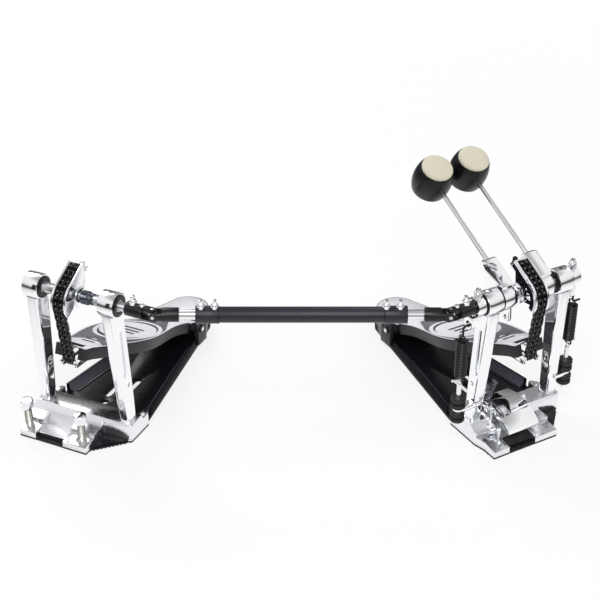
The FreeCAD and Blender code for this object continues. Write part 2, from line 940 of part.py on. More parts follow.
def beater_rod(x):
    """The rod from its block into the head."""
    return swung(rod_z(x, -rod_off, axle_z + rod_start, axle_z + head_out, rod_r))


def head_centre(x):
    """The middle of a beater head with its rod straight up."""
    return vec(x, -rod_off, axle_z + head_out)


def beater_head(x):
    """The barrel head, bored for the rod, with a seat for the striking face."""
    bulge = vec(head_r, 0, 0)
    start, end = vec(head_back_r, head_half, 0), vec(head_front_r, -head_half, 0)
    front, seat = vec(face_r + soft_gap, -head_half, 0), vec(face_r + soft_gap, -head_half + face_seat, 0)
    middle, back = vec(0, -head_half + face_seat, 0), vec(0, head_half, 0)
    edges = [
        Part.Arc(start, bulge, end).toShape(),
        Part.makeLine(end, front),
        Part.makeLine(front, seat),
        Part.makeLine(seat, middle),
        Part.makeLine(middle, back),
        Part.makeLine(back, start),
    ]
    barrel = Part.Face(Part.Wire(edges)).revolve(vec(0, 0, 0), AXIS_Y, 360)
    barrel = moved(barrel, head_centre(x))
    bore = rod_z(x, -rod_off, axle_z, axle_z + head_out + run_gap, rod_r + run_gap)
    return swung(barrel.cut(bore))


def beater_face(x):
    """The domed pale pad in the head's front: a disc under a slice of a ball."""
    seat_y = -head_half + face_seat - run_gap
    disc = rod(vec(0, seat_y, 0), vec(0, -head_half, 0), face_r)
    ball_r = (face_r ** 2 + face_dome ** 2) / (2 * face_dome)
    ball = Part.makeSphere(ball_r, vec(0, ball_r - head_half - face_dome, 0), AXIS_Y)
    slice_box = slab(-face_r, face_r, -head_half - ball_r, -head_half, -face_r, face_r)
    return swung(moved(fused([disc, ball.common(slice_box)]), head_centre(x)))


# Axles and rockers

def main_axle():
    """The main shaft: hexagonal with a journal, and a pilot that runs inside the second shaft."""
    start = second_end_x + shaft_gap
    ring_in = post_x - ring_len / 2 - seal_t
    ring_out = post_x + ring_len / 2 + seal_t
    return fused([
        hex_bar(start, rocker_x1, hex_af),
        rod_x(ring_in, ring_out, 0, axle_z, journal_r),
        rod_x(start - pilot_len, start + shaft_gap, 0, axle_z, pilot_r),
    ])


def second_axle():
    """The second beater's shaft, driven from the slave unit and bored for the main shaft's pilot."""
    ring_in = post_x - ring_len / 2 - seal_t
    ring_out = post_x + ring_len / 2 + seal_t
    bar = fused([
        hex_bar(-rocker_x1, second_end_x, hex_af),
        rod_x(-ring_out, -ring_in, 0, axle_z, journal_r),
        rod_x(-joint_x + yoke_throat + overrun, -rocker_x1 + overrun, 0, axle_z, stub_r),
    ])
    depth = pilot_len + shaft_gap
    return bar.cut(rod_x(second_end_x - depth, second_end_x + overrun, 0, axle_z, pilot_r + run_gap))


def slave_axle():
    """The slave unit's shaft, running in both posts and out to its universal joint."""
    ring_in = post_x - ring_len / 2 - seal_t
    ring_out = post_x + ring_len / 2 + seal_t
    return fused([
        hex_bar(-ring_in, ring_in, hex_af),
        rod_x(-ring_out, -ring_in, 0, axle_z, journal_r),
        rod_x(ring_in, ring_out, 0, axle_z, journal_r),
        rod_x(ring_out, joint_x - yoke_throat - overrun, 0, axle_z, stub_r),
    ])


def rocker(arm_out):
    """A right-hand spring rocker: clamp hub, bolt boss, and a drop arm that may stand further out."""
    hub = rod_x(rocker_x0, rocker_x1, 0, axle_z, rocker_r)
    middle = (rocker_x0 + rocker_x1) / 2
    boss = rod_z(middle, 0, axle_z, axle_z + boss_rise, boss_r)
    low = axle_z - arm_drop
    x0 = arm_x0 + arm_out
    arm = stadium_x(((0, axle_z - arm_foot_z - arm_r), (0, low)), arm_r, x0, x0 + arm_t)
    foot = slab(arm_x0, x0 + arm_t, -arm_r, arm_r, low, axle_z - arm_foot_z)
    bores = [
        hex_bar(rocker_x0 - overrun, rocker_x1 + overrun, hex_af + 2 * run_gap),
        rod_x(arm_x0 - overrun, x0 + arm_t + overrun, 0, low, hook_hole_r),
    ]
    return fused([hub, boss, arm, foot]).cut(bores)


# Springs and their adjusters

def hook_top_z():
    """The height of the hook wire in the rocker's hole."""
    return axle_z - arm_drop - hook_hole_r + hook_wire_r + soft_gap


def hook_low_z():
    """The height of the hook wire in the spring's upper eye."""
    return hook_top_z() - 2 * hook_bend - hook_shank


def spring_hook(x, arm_out):
    """A right-hand S hook: in through the rocker's hole, down, and out through the spring's eye."""
    top, low = hook_top_z(), hook_low_z()
    inner_x = arm_x0 + arm_out - hook_inner
    tail_x = x + spring_r + hook_tail
    points = [vec(inner_x, 0, top), vec(x, 0, top), vec(x, 0, low), vec(tail_x, 0, low)]
    return wire_bar(points, [hook_bend, hook_bend], hook_wire_r)


def coil_top_z():
    """The height where the coil passes into its upper eye."""
    return hook_low_z() + hook_wire_r + soft_gap + spring_wire_r - 2 * eye_r


def biarc(start, start_way, end, end_way):
    """Two arcs that leave one point along a direction and reach another along its own."""
    gap = end - start
    both = start_way + end_way
    square = both.dot(both) - 4
    reach = (gap.dot(both) - math.sqrt(gap.dot(both) ** 2 - square * gap.dot(gap))) / square
    near, far = start + start_way * reach, end - end_way * reach
    joint = (near + far) * 0.5
    return [arc_by_corner(start, near, joint), arc_by_corner(joint, far, end)]


def arc_by_corner(start, corner, end):
    """The arc that touches both legs of an even-sided corner."""
    foot = (start + end) * 0.5
    half = (end - start).Length / 2
    rise = (corner - foot).Length
    leg = math.hypot(half, rise)
    sagitta = half * (leg - half) / rise
    return Part.Arc(start, foot + (corner - foot).normalize() * sagitta, end).toShape()


def coil_low_z():
    """The height of the coil's lower end, over the lug and its knob."""
    return lug_z1 + coil_over


def coil_turns():
    """How many whole turns fit between the rocker's hook and the stem's."""
    return int((coil_top_z() - coil_low_z()) / coil_pitch)


def spring_path(x):
    """The edges of a right-hand spring: lower eye, coil in half turns, upper eye."""
    low, turns = coil_low_z(), coil_turns()
    climb = (coil_top_z() - low) / turns
    slope = climb / (2 * math.pi * spring_r)
    flat = 1 / math.sqrt(1 + slope * slope)

    def at(turn):
        a = 2 * math.pi * turn
        return vec(x + spring_r * math.cos(a), spring_r * math.sin(a), low + climb * turn)

    def way(turn):
        a = 2 * math.pi * turn
        return vec(-math.sin(a) * flat, math.cos(a) * flat, slope * flat)

    halves = [step / 2 for step in range(2 * turns + 1)]
    coil = []
    for turn, after in zip(halves, halves[1:]):
        coil += biarc(at(turn), way(turn), at(after), way(after))
    lower = eye_edges(at(0), way(0) * -1, -1)
    upper = eye_edges(at(turns), way(turns), 1)
    return [Part.Wire(lower).Edges[k] for k in reversed(range(len(lower)))], coil, upper


def eye_edges(start, way, side):
    """An eye of three quarters of a circle that leaves the coil sideways, with a straight end."""
    outward = AXIS_X.cross(way).normalize()
    lift = outward if outward.z * side > 0 else outward * -1
    centre = start + lift * eye_r
    end = centre - way * eye_r
    middle = centre + (way + lift).normalize() * eye_r
    return [
        Part.Arc(start, middle, end).toShape(),
        Part.makeLine(end, end - lift * (2 * spring_wire_r)),
    ]


def spring(x):
    """One right-hand spring as an unbroken tube."""
    lower, coil, upper = spring_path(x)
    return piped(Part.__sortEdges__(lower + coil + upper), spring_wire_r)


def spring_gap():
    """The least gap between neighbouring turns, measured on points along the wire."""
    lower, coil, upper = spring_path(main_spring_x)
    points = []
    for edge in coil:
        first, last = edge.FirstParameter, edge.LastParameter
        points += [edge.valueAt(first + (last - first) * share / 4) for share in range(4)]
    per_turn = len(points) // coil_turns()
    apart = per_turn // 2
    least = min(
        (points[j] - points[i]).Length
        for i in range(len(points))
        for j in range(i + apart, min(i + 2 * per_turn, len(points)))
    )
    return least - 2 * spring_wire_r


def rod_hook_z():
    """The height of the stem's hook in the spring's lower eye."""
    return coil_low_z() - 2 * eye_r + spring_wire_r + soft_gap + rod_hook_r


def spring_stem(x):
    """A right-hand adjuster stem: threaded rod through the lug, hooked into the spring's lower eye."""
    top = rod_hook_z()
    neck = top - 2 * hook_bend
    stem = rod_z(x, 0, stem_low_z, neck, stem_r)
    tail_x = x + spring_r + hook_tail
    points = [vec(x, 0, neck - hook_bend), vec(x, 0, top), vec(tail_x, 0, top)]
    return fused([stem, wire_bar(points, [hook_bend], rod_hook_r)])


def spring_stems():
    """Both stems on the main unit."""
    return group([spring_stem(main_spring_x), mirrored(spring_stem(second_spring_x))])


def spring_knob(x):
    """A right-hand tension knob above the lug and its lock nut below."""
    knob_low = lug_z1 + run_gap
    nut_top = lug_z0 - run_gap
    pieces = []
    for z0, z1 in ((knob_low, knob_low + knob_high), (nut_top - nut_high, nut_top)):
        body = rod_z(x, 0, z0, z1, knob_r)
        middle = (z0 + z1) / 2
        waist = rod_z(x, 0, middle - knob_groove_w / 2, middle + knob_groove_w / 2, knob_r + overrun)
        waist = waist.cut(rod_z(x, 0, z0, z1, knob_groove_r))
        pieces.append(body.cut([waist, rod_z(x, 0, z0 - overrun, z1 + overrun, stem_r + run_gap)]))
    return group(pieces)


# Universal joints and drive shaft

def yoke(length, bore_r, bore_from, pin_hole_r):
    """A yoke with its joint centre at zero, hub towards +X and pin holes along Z."""
    hub = rod_x(yoke_throat, length, 0, 0, yoke_r)
    envelope = rod_x(-yoke_ear_half, length, 0, 0, yoke_r)
    ears = []
    for way in (-1, 1):
        z0, z1 = sorted((way * yoke_ear_in, way * yoke_r))
        arm = slab(0, yoke_throat + overrun, -yoke_ear_half, yoke_ear_half, z0, z1)
        tip = rod_z(0, 0, z0, z1, yoke_ear_half)
        ears.append(fused([arm, tip]).common(envelope))
    body = fused([hub] + ears)
    cuts = [rod_z(0, 0, -yoke_r - overrun, yoke_r + overrun, pin_hole_r)]
    cuts.append(rod_x(bore_from, length + overrun, 0, 0, bore_r + run_gap))
    return body.cut(cuts)


def second_axle_yoke():
    """The yoke on the second shaft of the main unit."""
    piece = yoke(joint_x - second_yoke_x, stub_r, yoke_throat + overrun, cross_pin_r + pivot_gap)
    return moved(piece, vec(-joint_x, 0, axle_z))


def slave_axle_yoke():
    """The yoke on the slave unit's shaft."""
    piece = yoke(joint_x - slave_yoke_x, stub_r, yoke_throat + overrun, cross_pin_r + pivot_gap)
    return moved(turned(piece, 180, AXIS_Z, vec(0, 0, 0)), vec(joint_x, 0, axle_z))


def cross():
    """The cross of a universal joint: a block with four pins."""
    return fused([
        slab(-cross_half, cross_half, -cross_half, cross_half, -cross_half, cross_half),
        rod_z(0, 0, -cross_reach, cross_reach, cross_pin_r),
        rod(vec(0, -cross_reach, 0), vec(0, cross_reach, 0), cross_pin_r),
    ])


def shaft_frame(shape):
    """A piece drawn from the main joint along +X, laid along the drive shaft towards the slave unit."""
    return moved(turned(shape, 180 - main_bend, AXIS_Z, vec(0, 0, 0)), vec(-joint_x, 0, axle_z))


def from_slave_end(shape):
    """A piece drawn from the slave joint towards the main one, laid along the drive shaft."""
    flipped = turned(shape, 180, AXIS_Z, vec(0, 0, 0))
    return shaft_frame(moved(flipped, vec(joint_span, 0, 0)))


def tube_yoke():
    """A yoke on the drive shaft's side, with its pins level."""
    piece = yoke(yoke_len, drive_rod_r, yoke_len - drive_rod_seat, cross_pin_r + run_gap)
    return turned(piece, 90, AXIS_X, vec(0, 0, 0))


def drive_rod():
    """A rod that telescopes into the tube."""
    return rod_x(yoke_len - drive_rod_seat, yoke_len + drive_rod_show + drive_rod_in, 0, 0, drive_rod_r)


def drive_tube():
    """The tube with a clamp collar at each end."""
    x0 = yoke_len + drive_rod_show
    x1 = joint_span - x0
    pieces = [
        rod_x(x0, x1, 0, 0, tube_r),
        rod_x(x0, x0 + collar_len, 0, 0, collar_r),
        rod_x(x1 - collar_len, x1, 0, 0, collar_r),
    ]
    return fused(pieces).cut(rod_x(x0 - overrun, x1 + overrun, 0, 0, drive_rod_r + run_gap))


# Hoop clamp and spurs

def clamp_jaw():
    """The upper jaw: a curved lever with trunnions, a front lip and a hole for its screw."""
    x0 = jaw_x - jaw_half
    front_y, back_y = jaw_pivot_y - trunnion_r, jaw_pivot_y + trunnion_r

    def at(y, z):
        return vec(x0, y, z)

    heel = at(jaw_lip_y + jaw_t, jaw_lip_z)
    lip_low, lip_top = at(jaw_lip_y, jaw_lip_z), at(jaw_lip_y, jaw_lip_z + jaw_t)
    crown, belly = at(front_y, jaw_pivot_z + jaw_t), at(front_y, jaw_pivot_z - jaw_t)
    rear = [
        crown,
        at(back_y, jaw_pivot_z + jaw_t),
        at(jaw_back_y, jaw_back_z + jaw_t / 2),
        at(jaw_back_y, jaw_back_z - jaw_t / 2),
        at(back_y, jaw_pivot_z - jaw_t),
        belly,
    ]
    edges = [Part.makeLine(lip_low, lip_top)]
    edges.append(Part.Arc(lip_top, at(jaw_knee_y, jaw_knee_z + jaw_t), crown).toShape())
    edges += [Part.makeLine(a, b) for a, b in zip(rear, rear[1:])]
    edges.append(Part.Arc(belly, at(jaw_knee_y + jaw_t / 2, jaw_knee_z - jaw_t / 2), heel).toShape())
    edges.append(Part.makeLine(heel, lip_low))
    plate = Part.Face(Part.Wire(edges)).extrude(vec(2 * jaw_half, 0, 0))
    reach = jaw_half + soft_gap + jaw_ear_t
    pin = rod_x(jaw_x - reach, jaw_x + reach, jaw_pivot_y, jaw_pivot_z, trunnion_r)
    hole = rod_z(jaw_screw_x, jaw_screw_y, bed_top, jaw_screw_top, jaw_screw_r + run_gap)
    return fused([plate, pin]).cut(hole)


def clamp_screw():
    """The wing screw that lifts the jaw's back end off the bed."""
    low = bed_top + soft_gap
    tip = rod_z(jaw_screw_x, jaw_screw_y, low, low + jaw_tip_len, jaw_tip_r)
    stem = rod_z(jaw_screw_x, jaw_screw_y, low + jaw_tip_len, jaw_screw_top, jaw_screw_r)
    z1 = jaw_screw_top + wing_high
    right = [
        vec(jaw_screw_r, 0, jaw_screw_top - jaw_t),
        vec(wing_half, 0, z1 - jaw_screw_r),
        vec(wing_half - jaw_screw_r, 0, z1),
    ]
    left = [vec(-corner.x, 0, corner.z) for corner in reversed(right)]
    wing = face_of(right + [vec(0, 0, jaw_screw_top + jaw_screw_r)] + left).extrude(vec(0, wing_t, 0))
    return fused([tip, stem, moved(wing, vec(jaw_screw_x, jaw_screw_y - wing_t / 2, 0))])


def spur(x):
    """A floor spur: faceted ball head, threaded stem and a point."""
    head_z = fork_root_z + spur_stand
    corners = [math.radians(60 * step) for step in range(6)]
    outline = [(x + spur_head_r * math.cos(a), spur_y + spur_head_r * math.sin(a)) for a in corners]
    head = prism_z(outline, head_z, head_z + spur_head_t)
    ball = Part.makeSphere(spur_ball_r, vec(x, spur_y, head_z + spur_head_t / 2))
    stem = rod_z(x, spur_y, spur_tip_z + spur_tip_len, head_z + spur_head_t / 2, spur_r)
    tip = Part.makeCone(spur_tip_r, spur_r, spur_tip_len, vec(x, spur_y, spur_tip_z))
    return fused([head.common(ball), stem, tip])


# Assembly

def slave_frame(shape):
    """A piece of the slave unit, carried to the far end of the drive shaft."""
    lean = math.radians(main_bend)
    turn = -(main_bend + slave_bend)
    joint = vec(-joint_x - joint_span * math.cos(lean), joint_span * math.sin(lean), 0)
    reach = vec(joint_x * math.cos(math.radians(turn)), joint_x * math.sin(math.radians(turn)), 0)
    return moved(turned(shape, turn, AXIS_Z, vec(0, 0, 0)), joint - reach)


def unit_nodes(spurred):
    """What both units have alike, in the unit's own frame."""
    last = top_pitches + nose_pitches + free_pitches
    return {
        "sole": sole(spurred),
        "base_plate": base_plate(spurred),
        "bearings": bearings(),
        "heel_plate": heel_plate(),
        "heel_pin": heel_pin(),
        "footboard": footboard(),
        "toe_clevis": toe_clevis(),
        "cam": cam(),
        "chain_wrap": chain(0, fixed_links),
        "chain_run": chain(fixed_links, last),
    }


def main_nodes():
    """The pieces that only the main unit has."""
    return {
        "main_bed": main_bed(),
        "main_left_post": mirrored(post(second_spring_x)),
        "main_right_post": post(main_spring_x),
        "main_axle": main_axle(),
        "main_holder": holder(main_beater_x, main_block_far, False),
        "main_beater_rod": beater_rod(main_beater_x),
        "main_beater_head": beater_head(main_beater_x),
        "main_beater_face": beater_face(main_beater_x),
        "main_rocker": rocker(0),
        "main_spring_hook": spring_hook(main_spring_x, 0),
        "main_spring": spring(main_spring_x),
        "main_spring_knob": spring_knob(main_spring_x),
        "second_axle": second_axle(),
        "second_holder": holder(second_beater_x, second_block_far, True),
        "second_beater_rod": beater_rod(second_beater_x),
        "second_beater_head": beater_head(second_beater_x),
        "second_beater_face": beater_face(second_beater_x),
        "second_rocker": mirrored(rocker(second_arm_out)),
        "second_spring_hook": mirrored(spring_hook(second_spring_x, second_arm_out)),
        "second_spring": mirrored(spring(second_spring_x)),
        "second_spring_knob": mirrored(spring_knob(second_spring_x)),
        "second_axle_yoke": second_axle_yoke(),
        "spring_stems": spring_stems(),
        "clamp_jaw": clamp_jaw(),
        "clamp_screw": clamp_screw(),
    }


def slave_nodes():
    """The pieces that only the slave unit has, in its own frame."""
    left, right = spur_places()
    return {
        "slave_bed": slave_bed(),
        "slave_left_post": mirrored(post(0)),
        "slave_right_post": post(0),
        "slave_axle": slave_axle(),
        "slave_axle_yoke": slave_axle_yoke(),
        "slave_left_spur": spur(left),
        "slave_right_spur": spur(right),
    }


def drive_nodes():
    """The drive shaft between the two universal joints."""
    return {
        "drive_tube": shaft_frame(drive_tube()),
        "main_rod": shaft_frame(drive_rod()),
        "main_tube_yoke": shaft_frame(tube_yoke()),
        "main_cross": shaft_frame(cross()),
        "slave_rod": from_slave_end(drive_rod()),
        "slave_tube_yoke": from_slave_end(tube_yoke()),
        "slave_cross": from_slave_end(cross()),
    }


def all_nodes():
    """Every node by name, in the part's frame."""
    nodes = {"main_" + name: shape for name, shape in unit_nodes(False).items()}
    nodes.update({"slave_" + name: slave_frame(shape) for name, shape in unit_nodes(True).items()})
    nodes.update(main_nodes())
    nodes.update({name: slave_frame(shape) for name, shape in slave_nodes().items()})
    nodes.update(drive_nodes())
    return nodes


def main():
    """Build every node and write its STEP file."""
    os.makedirs("parts", exist_ok=True)
    for name, shape in all_nodes().items():
        shape.exportStep("parts/" + name + ".step")
    print("least gap between spring turns, mm:", round(spring_gap(), 3))


main()
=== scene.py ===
import json
import logging
import math
from collections.abc import Callable, Iterable, Iterator, Sequence
from dataclasses import dataclass, field
from enum import Enum

import bmesh
import bpy
from bmesh.types import BMEdge, BMesh, BMFace, BMVert
from bpy.types import ID, Material, Mesh, Node, NodeSocket, NodeTree, Object
from mathutils import Matrix, Vector


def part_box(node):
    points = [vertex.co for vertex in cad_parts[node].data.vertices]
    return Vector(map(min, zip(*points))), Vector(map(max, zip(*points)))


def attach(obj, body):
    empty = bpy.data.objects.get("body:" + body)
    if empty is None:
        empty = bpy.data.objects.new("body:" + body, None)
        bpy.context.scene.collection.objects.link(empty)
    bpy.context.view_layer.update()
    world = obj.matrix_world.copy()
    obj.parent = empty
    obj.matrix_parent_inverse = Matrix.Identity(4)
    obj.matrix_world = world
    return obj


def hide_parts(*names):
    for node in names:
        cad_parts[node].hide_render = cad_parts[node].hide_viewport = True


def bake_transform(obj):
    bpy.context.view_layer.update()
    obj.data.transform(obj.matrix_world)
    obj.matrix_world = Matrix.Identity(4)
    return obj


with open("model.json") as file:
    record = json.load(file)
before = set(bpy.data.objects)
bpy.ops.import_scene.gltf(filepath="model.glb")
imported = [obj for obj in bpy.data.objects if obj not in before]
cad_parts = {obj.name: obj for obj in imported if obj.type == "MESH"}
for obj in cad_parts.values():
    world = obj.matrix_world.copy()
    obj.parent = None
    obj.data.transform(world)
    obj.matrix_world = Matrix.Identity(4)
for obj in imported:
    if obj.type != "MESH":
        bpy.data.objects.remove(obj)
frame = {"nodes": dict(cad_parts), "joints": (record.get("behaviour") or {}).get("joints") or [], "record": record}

LOG = logging.getLogger("drum_pedal")
MM = 0.001
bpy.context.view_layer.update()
JOIN_M = 1e-6  # loose corners nearer than this are one
SPIN_JOIN_M = 1e-7  # the same where a turned form meets its axis
WELD_MM = 0.004  # the same before a solid's edges are rounded
SMOOTH_ANGLE = math.radians(32)  # edges flatter than this are shaded smooth
EDGE_ANGLE = math.radians(35)  # edges sharper than this are rounded
LEVEL = 0.999  # how far up the normal of a level face points
NOISE_CORE = (0.3, 0.7)  # most of a noise's values lie between these
SMOOTHEST = 0.02  # no surface is given less roughness
FLANK_TO_TOP = (0.3, 0.8)  # how far up a normal points, from a flank to a top
NEAR_X = 0.9  # a direction that points further along X takes Y as its hint
BEVEL_STEPS = 2
WAVE_RATE = 20  # radians in a unit of a wave texture
UP = Vector((0, 0, 1))
WHITE = (1.0, 1.0, 1.0, 1.0)
BOTH_SIDES = (-1, 1)
Pair = tuple[float, float]
Triple = tuple[float, float, float]
Section = tuple[Pair, ...]


def linear(code: str) -> tuple[float, float, float, float]:
    """Turn an sRGB hex colour into linear light.

    Args:
        code: six hex digits with a leading hash.

    Returns:
        Red, green, blue and an alpha of one.
    """
    def channel(pair: str) -> float:
        """One channel from its two hex digits."""
        share = int(pair, 16) / 255
        return share / 12.92 if share <= 0.04045 else ((share + 0.055) / 1.055) ** 2.4

    red, green, blue = (channel(code[k:k + 2]) for k in (1, 3, 5))
    return red, green, blue, 1.0


def feed(node: Node, inputs: dict) -> None:
    """Set a shader node's inputs.

    Args:
        node: the node.
        inputs: values, or output sockets to link, by input name or number.
    """
    for key, value in inputs.items():
        if isinstance(value, NodeSocket):
            node.id_data.links.new(value, node.inputs[key])
        else:
            node.inputs[key].default_value = value


def add_node(tree: NodeTree, kind: str, inputs: dict | None = None, **settings: object) -> Node:
    """Add a shader node with its settings and inputs.

    Args:
        tree: the material's or world's node tree.
        kind: Blender's name for the node, after ShaderNode.
        inputs: what feed() takes.
        **settings: the node's own properties.

    Returns:
        The new node.
    """
    node = tree.nodes.new("ShaderNode" + kind)
    for name, value in settings.items():
        setattr(node, name, value)
    feed(node, inputs or {})
    return node


def remap(tree: NodeTree, value: NodeSocket, source: Pair, target: Pair,
          curve: str = "LINEAR") -> NodeSocket:
    """Return a value with its source range mapped to a target range along one of Blender's curves."""
    return add_node(tree, "MapRange", {
        "Value": value, "From Min": source[0], "From Max": source[1],
        "To Min": target[0], "To Max": target[1],
    }, interpolation_type=curve).outputs[0]


class Grain(Enum):
    """How a surface was made: its name, the stretch of its relief along X and the relief's detail."""

    POLISHED = ("polished", 1.0, 1.0)
    CAST = ("cast", 1.0, 2.0)
    TURNED = ("turned", 0.08, 3.0)
    POWDER = ("powder", 1.0, 3.0)
    MOULDED = ("moulded", 1.0, 3.0)
    FELTED = ("felted", 1.0, 6.0)


@dataclass(frozen=True)
class Finish:
    """A material: what it is, how it was made and what that gives the eye.

    Its roughness varies by the spread and its colour towards the worn one; flank is a lower shine for upright
    faces, a painted shade on their sides.
    """

    name: str
    colour: str
    metallic: float
    roughness: float
    grain: Grain
    grain_mm: float
    relief_mm: float
    spread: float = 0.05
    worn: str = ""
    shine: float = 0.5
    flank: float | None = None

    def material(self) -> Material:
        """Return the material, made once."""
        return bpy.data.materials.get(self.name) or self.make()

    def make(self) -> Material:
        """Build the shader from the finish's values.

        Returns:
            The new material.
        """
        made = bpy.data.materials.new(self.name)
        made.use_nodes = True
        tree = made.node_tree
        noise = self.noise(tree)
        rough = max(self.roughness - self.spread, SMOOTHEST), self.roughness + self.spread
        looks = {
            "Base Color": linear(self.colour), "Metallic": self.metallic, "Specular IOR Level": self.shine,
            "Roughness": remap(tree, noise, NOISE_CORE, rough),
        }
        if self.worn:
            blend = add_node(tree, "Mix", {
                "Factor": noise, "A": linear(self.colour), "B": linear(self.worn),
            }, data_type="RGBA")
            looks["Base Color"] = blend.outputs["Result"]
        if self.relief_mm:
            bump = add_node(tree, "Bump", {"Height": noise, "Distance": self.relief_mm * MM, "Strength": 1.0})
            looks["Normal"] = bump.outputs[0]
        # upright faces take the flank's lower shine, which paints shade on them
        if self.flank is not None:
            place = add_node(tree, "TexCoord")
            tilt = add_node(tree, "SeparateXYZ", {0: place.outputs["Normal"]})
            level = add_node(tree, "Math", {0: tilt.outputs["Z"]}, operation="ABSOLUTE")
            shine = remap(tree, level.outputs[0], FLANK_TO_TOP, (self.flank, self.shine))
            looks["Specular IOR Level"] = shine
        feed(tree.nodes["Principled BSDF"], looks)
        return made

    def noise(self, tree: NodeTree) -> NodeSocket:
        """Lay the grain's pattern out in real sizes.

        Args:
            tree: the material's node tree.

        Returns:
            The pattern's value.
        """
        _, stretch, detail = self.grain.value
        place = add_node(tree, "TexCoord")
        spread = add_node(tree, "Mapping", {"Vector": place.outputs["Object"], "Scale": (stretch, 1.0, 1.0)})
        return add_node(tree, "TexNoise", {
            "Vector": spread.outputs[0], "Scale": 1 / (self.grain_mm * MM), "Detail": detail,
        }).outputs["Fac"]


@dataclass(frozen=True)
class RibbedRubber(Finish):
    """Moulded rubber with broad shallow ribs, which break up its dull shine."""

    rib_mm: float = 15.08

    def noise(self, tree: NodeTree) -> NodeSocket:
        """Return the height of ribs across the object's length."""
        place = add_node(tree, "TexCoord")
        return add_node(tree, "TexWave", {
            "Vector": place.outputs["Object"], "Scale": 2 * math.pi / (self.rib_mm * MM) / WAVE_RATE,
            "Distortion": 0.0,
        }, bands_direction="X").outputs["Fac"]


# Chromium on polished castings: mirror-bright, with the slow ripple of hand polishing
CHROME = Finish("chrome_plated_casting", "#EDEEF0", 1.0, 0.09, Grain.CAST, 26.0, 0.08, 0.04)
# Chromium on sand-blasted castings: pale and satin, so that the beds keep soft shades
SATIN_CHROME = Finish("satin_chrome_casting", "#E4E5E8", 1.0, 0.23, Grain.CAST, 4.0, 0.01)
# Chromium on drawn bar: bright, with faint streaks round the bar
CHROME_BAR = Finish("chrome_plated_bar", "#E4E5E8", 1.0, 0.13, Grain.TURNED, 3.0, 0.004, 0.04)
# Turned steel left bright: a soft streaky shine along the lathe's marks
BRIGHT_STEEL = Finish("turned_bright_steel", "#C6C8CB", 1.0, 0.2, Grain.TURNED, 1.6, 0.005, 0.06)
# Zinc on rolled threads: duller than chrome and a little yellow from its passivation
ZINC = Finish("zinc_plated_thread", "#A7A49C", 1.0, 0.3, Grain.TURNED, 1.2, 0.004, 0.08, "#8E8A80")
# Black powder coat on folded steel: half gloss on top, with a fine orange peel; its shine drops almost to nothing
# on the upright flanks, a painted shade that keeps them deep black
POWDER = Finish("black_powder_coated_steel", "#15151A", 0.0, 0.24, Grain.POWDER, 1.1, 0.01,
                shine=0.26, flank=0.01)
# The same on the lips' slanted flanks, which face the light; its much paler blue-grey colour and full shine are a
# painted sheen
PAINTED_SHEEN_POWDER = Finish("black_powder_coat_painted_sheen", "#4C4C59", 0.0, 0.3, Grain.POWDER, 1.1, 0.01, shine=1.0)
# Dark lacquer on the die-cast boards and heels: even and satin, with a fine flake
LACQUER = Finish("dark_satin_lacquer", "#242327", 0.1, 0.42, Grain.POWDER, 0.8, 0.01, 0.06, "#2B2A2F", 0.35)
# Violet grey screen print on the boards' tops: flat colour with a faint cloud
FIELD = Finish("violet_grey_screen_print", "#68646D", 0.0, 0.5, Grain.MOULDED, 1.4, 0.003, 0.05,
               "#6F6B75", 0.35)
# Silver screen print: thin and pale, with almost no shine
PRINT = Finish("silver_screen_print", "#EDECF1", 0.0, 0.45, Grain.MOULDED, 1.0, 0.003, 0.05, "#E4E3E9")
# Black oxide on hooks, yokes and heel pins: dark oiled steel
BLACK_OXIDE = Finish("black_oxide_steel", "#141417", 0.4, 0.34, Grain.TURNED, 1.5, 0.006, 0.08, "#1B1B1F")
# The same on the chain, rubbed brighter where the links run
CHAIN_OXIDE = Finish("oiled_black_chain", "#131416", 0.6, 0.25, Grain.POLISHED, 2.0, 0.004, 0.08, "#1E1F22")
# Rollers and rivets that the chain's own running keeps bright
ROLLER = Finish("polished_chain_roller", "#6E7075", 1.0, 0.22, Grain.TURNED, 1.0, 0.002, 0.04)
# Burnished steel on the slave's collar and the wing screw: grey and softly streaked
GUNMETAL = Finish("burnished_grey_steel", "#5C5E65", 1.0, 0.24, Grain.TURNED, 1.6, 0.004, 0.06)
# Charcoal anodising on drawn tube: even, satin and slightly blue
ANODISED = Finish("charcoal_anodised_tube", "#2C2E34", 0.45, 0.4, Grain.TURNED, 1.4, 0.004)
# Polished phenolic barrel: deep black under a clear shine
BARREL = Finish("polished_black_phenolic", "#111014", 0.0, 0.3, Grain.MOULDED, 6.0, 0.004, 0.04, shine=0.3)
# Pressed felt: pale, matt and slightly cloudy
FELT = Finish("pressed_cream_felt", "#D6D2C1", 0.0, 0.82, Grain.FELTED, 0.9, 0.06, 0.06, "#C9C4AE")
# Moulded nylon knobs: black with a dull bloom
NYLON = Finish("moulded_black_nylon", "#101012", 0.0, 0.46, Grain.MOULDED, 0.9, 0.01, 0.06)
# Black lacquer on spring wire: glossy and thin
SPRING_WIRE = Finish("lacquered_spring_wire", "#0F0F12", 0.1, 0.3, Grain.POLISHED, 2.0, 0.002)
# Ribbed rubber sheet: dull black, broken up by its ribs
RUBBER = RibbedRubber("ribbed_black_rubber", "#0C0C0D", 0.0, 0.74, Grain.MOULDED, 1.0, 0.25, 0.06)
# The shade inside a grub's hexagon
SHADOW = Finish("dark_socket_recess", "#08080A", 0.0, 0.6, Grain.MOULDED, 1.0, 0.0, 0.02)

SLOT_FINISH = {
    "rubber": RUBBER, "black_plate": POWDER, "chrome": CHROME, "steel": BRIGHT_STEEL, "board": LACQUER,
    "heel_metal": LACQUER, "black_chain": CHAIN_OXIDE, "cam_metal": CHROME, "black_metal": BLACK_OXIDE,
    "tube": ANODISED, "beater_black": BARREL, "beater_pad": FELT, "knob_black": NYLON,
    "spring_black": SPRING_WIRE,
}
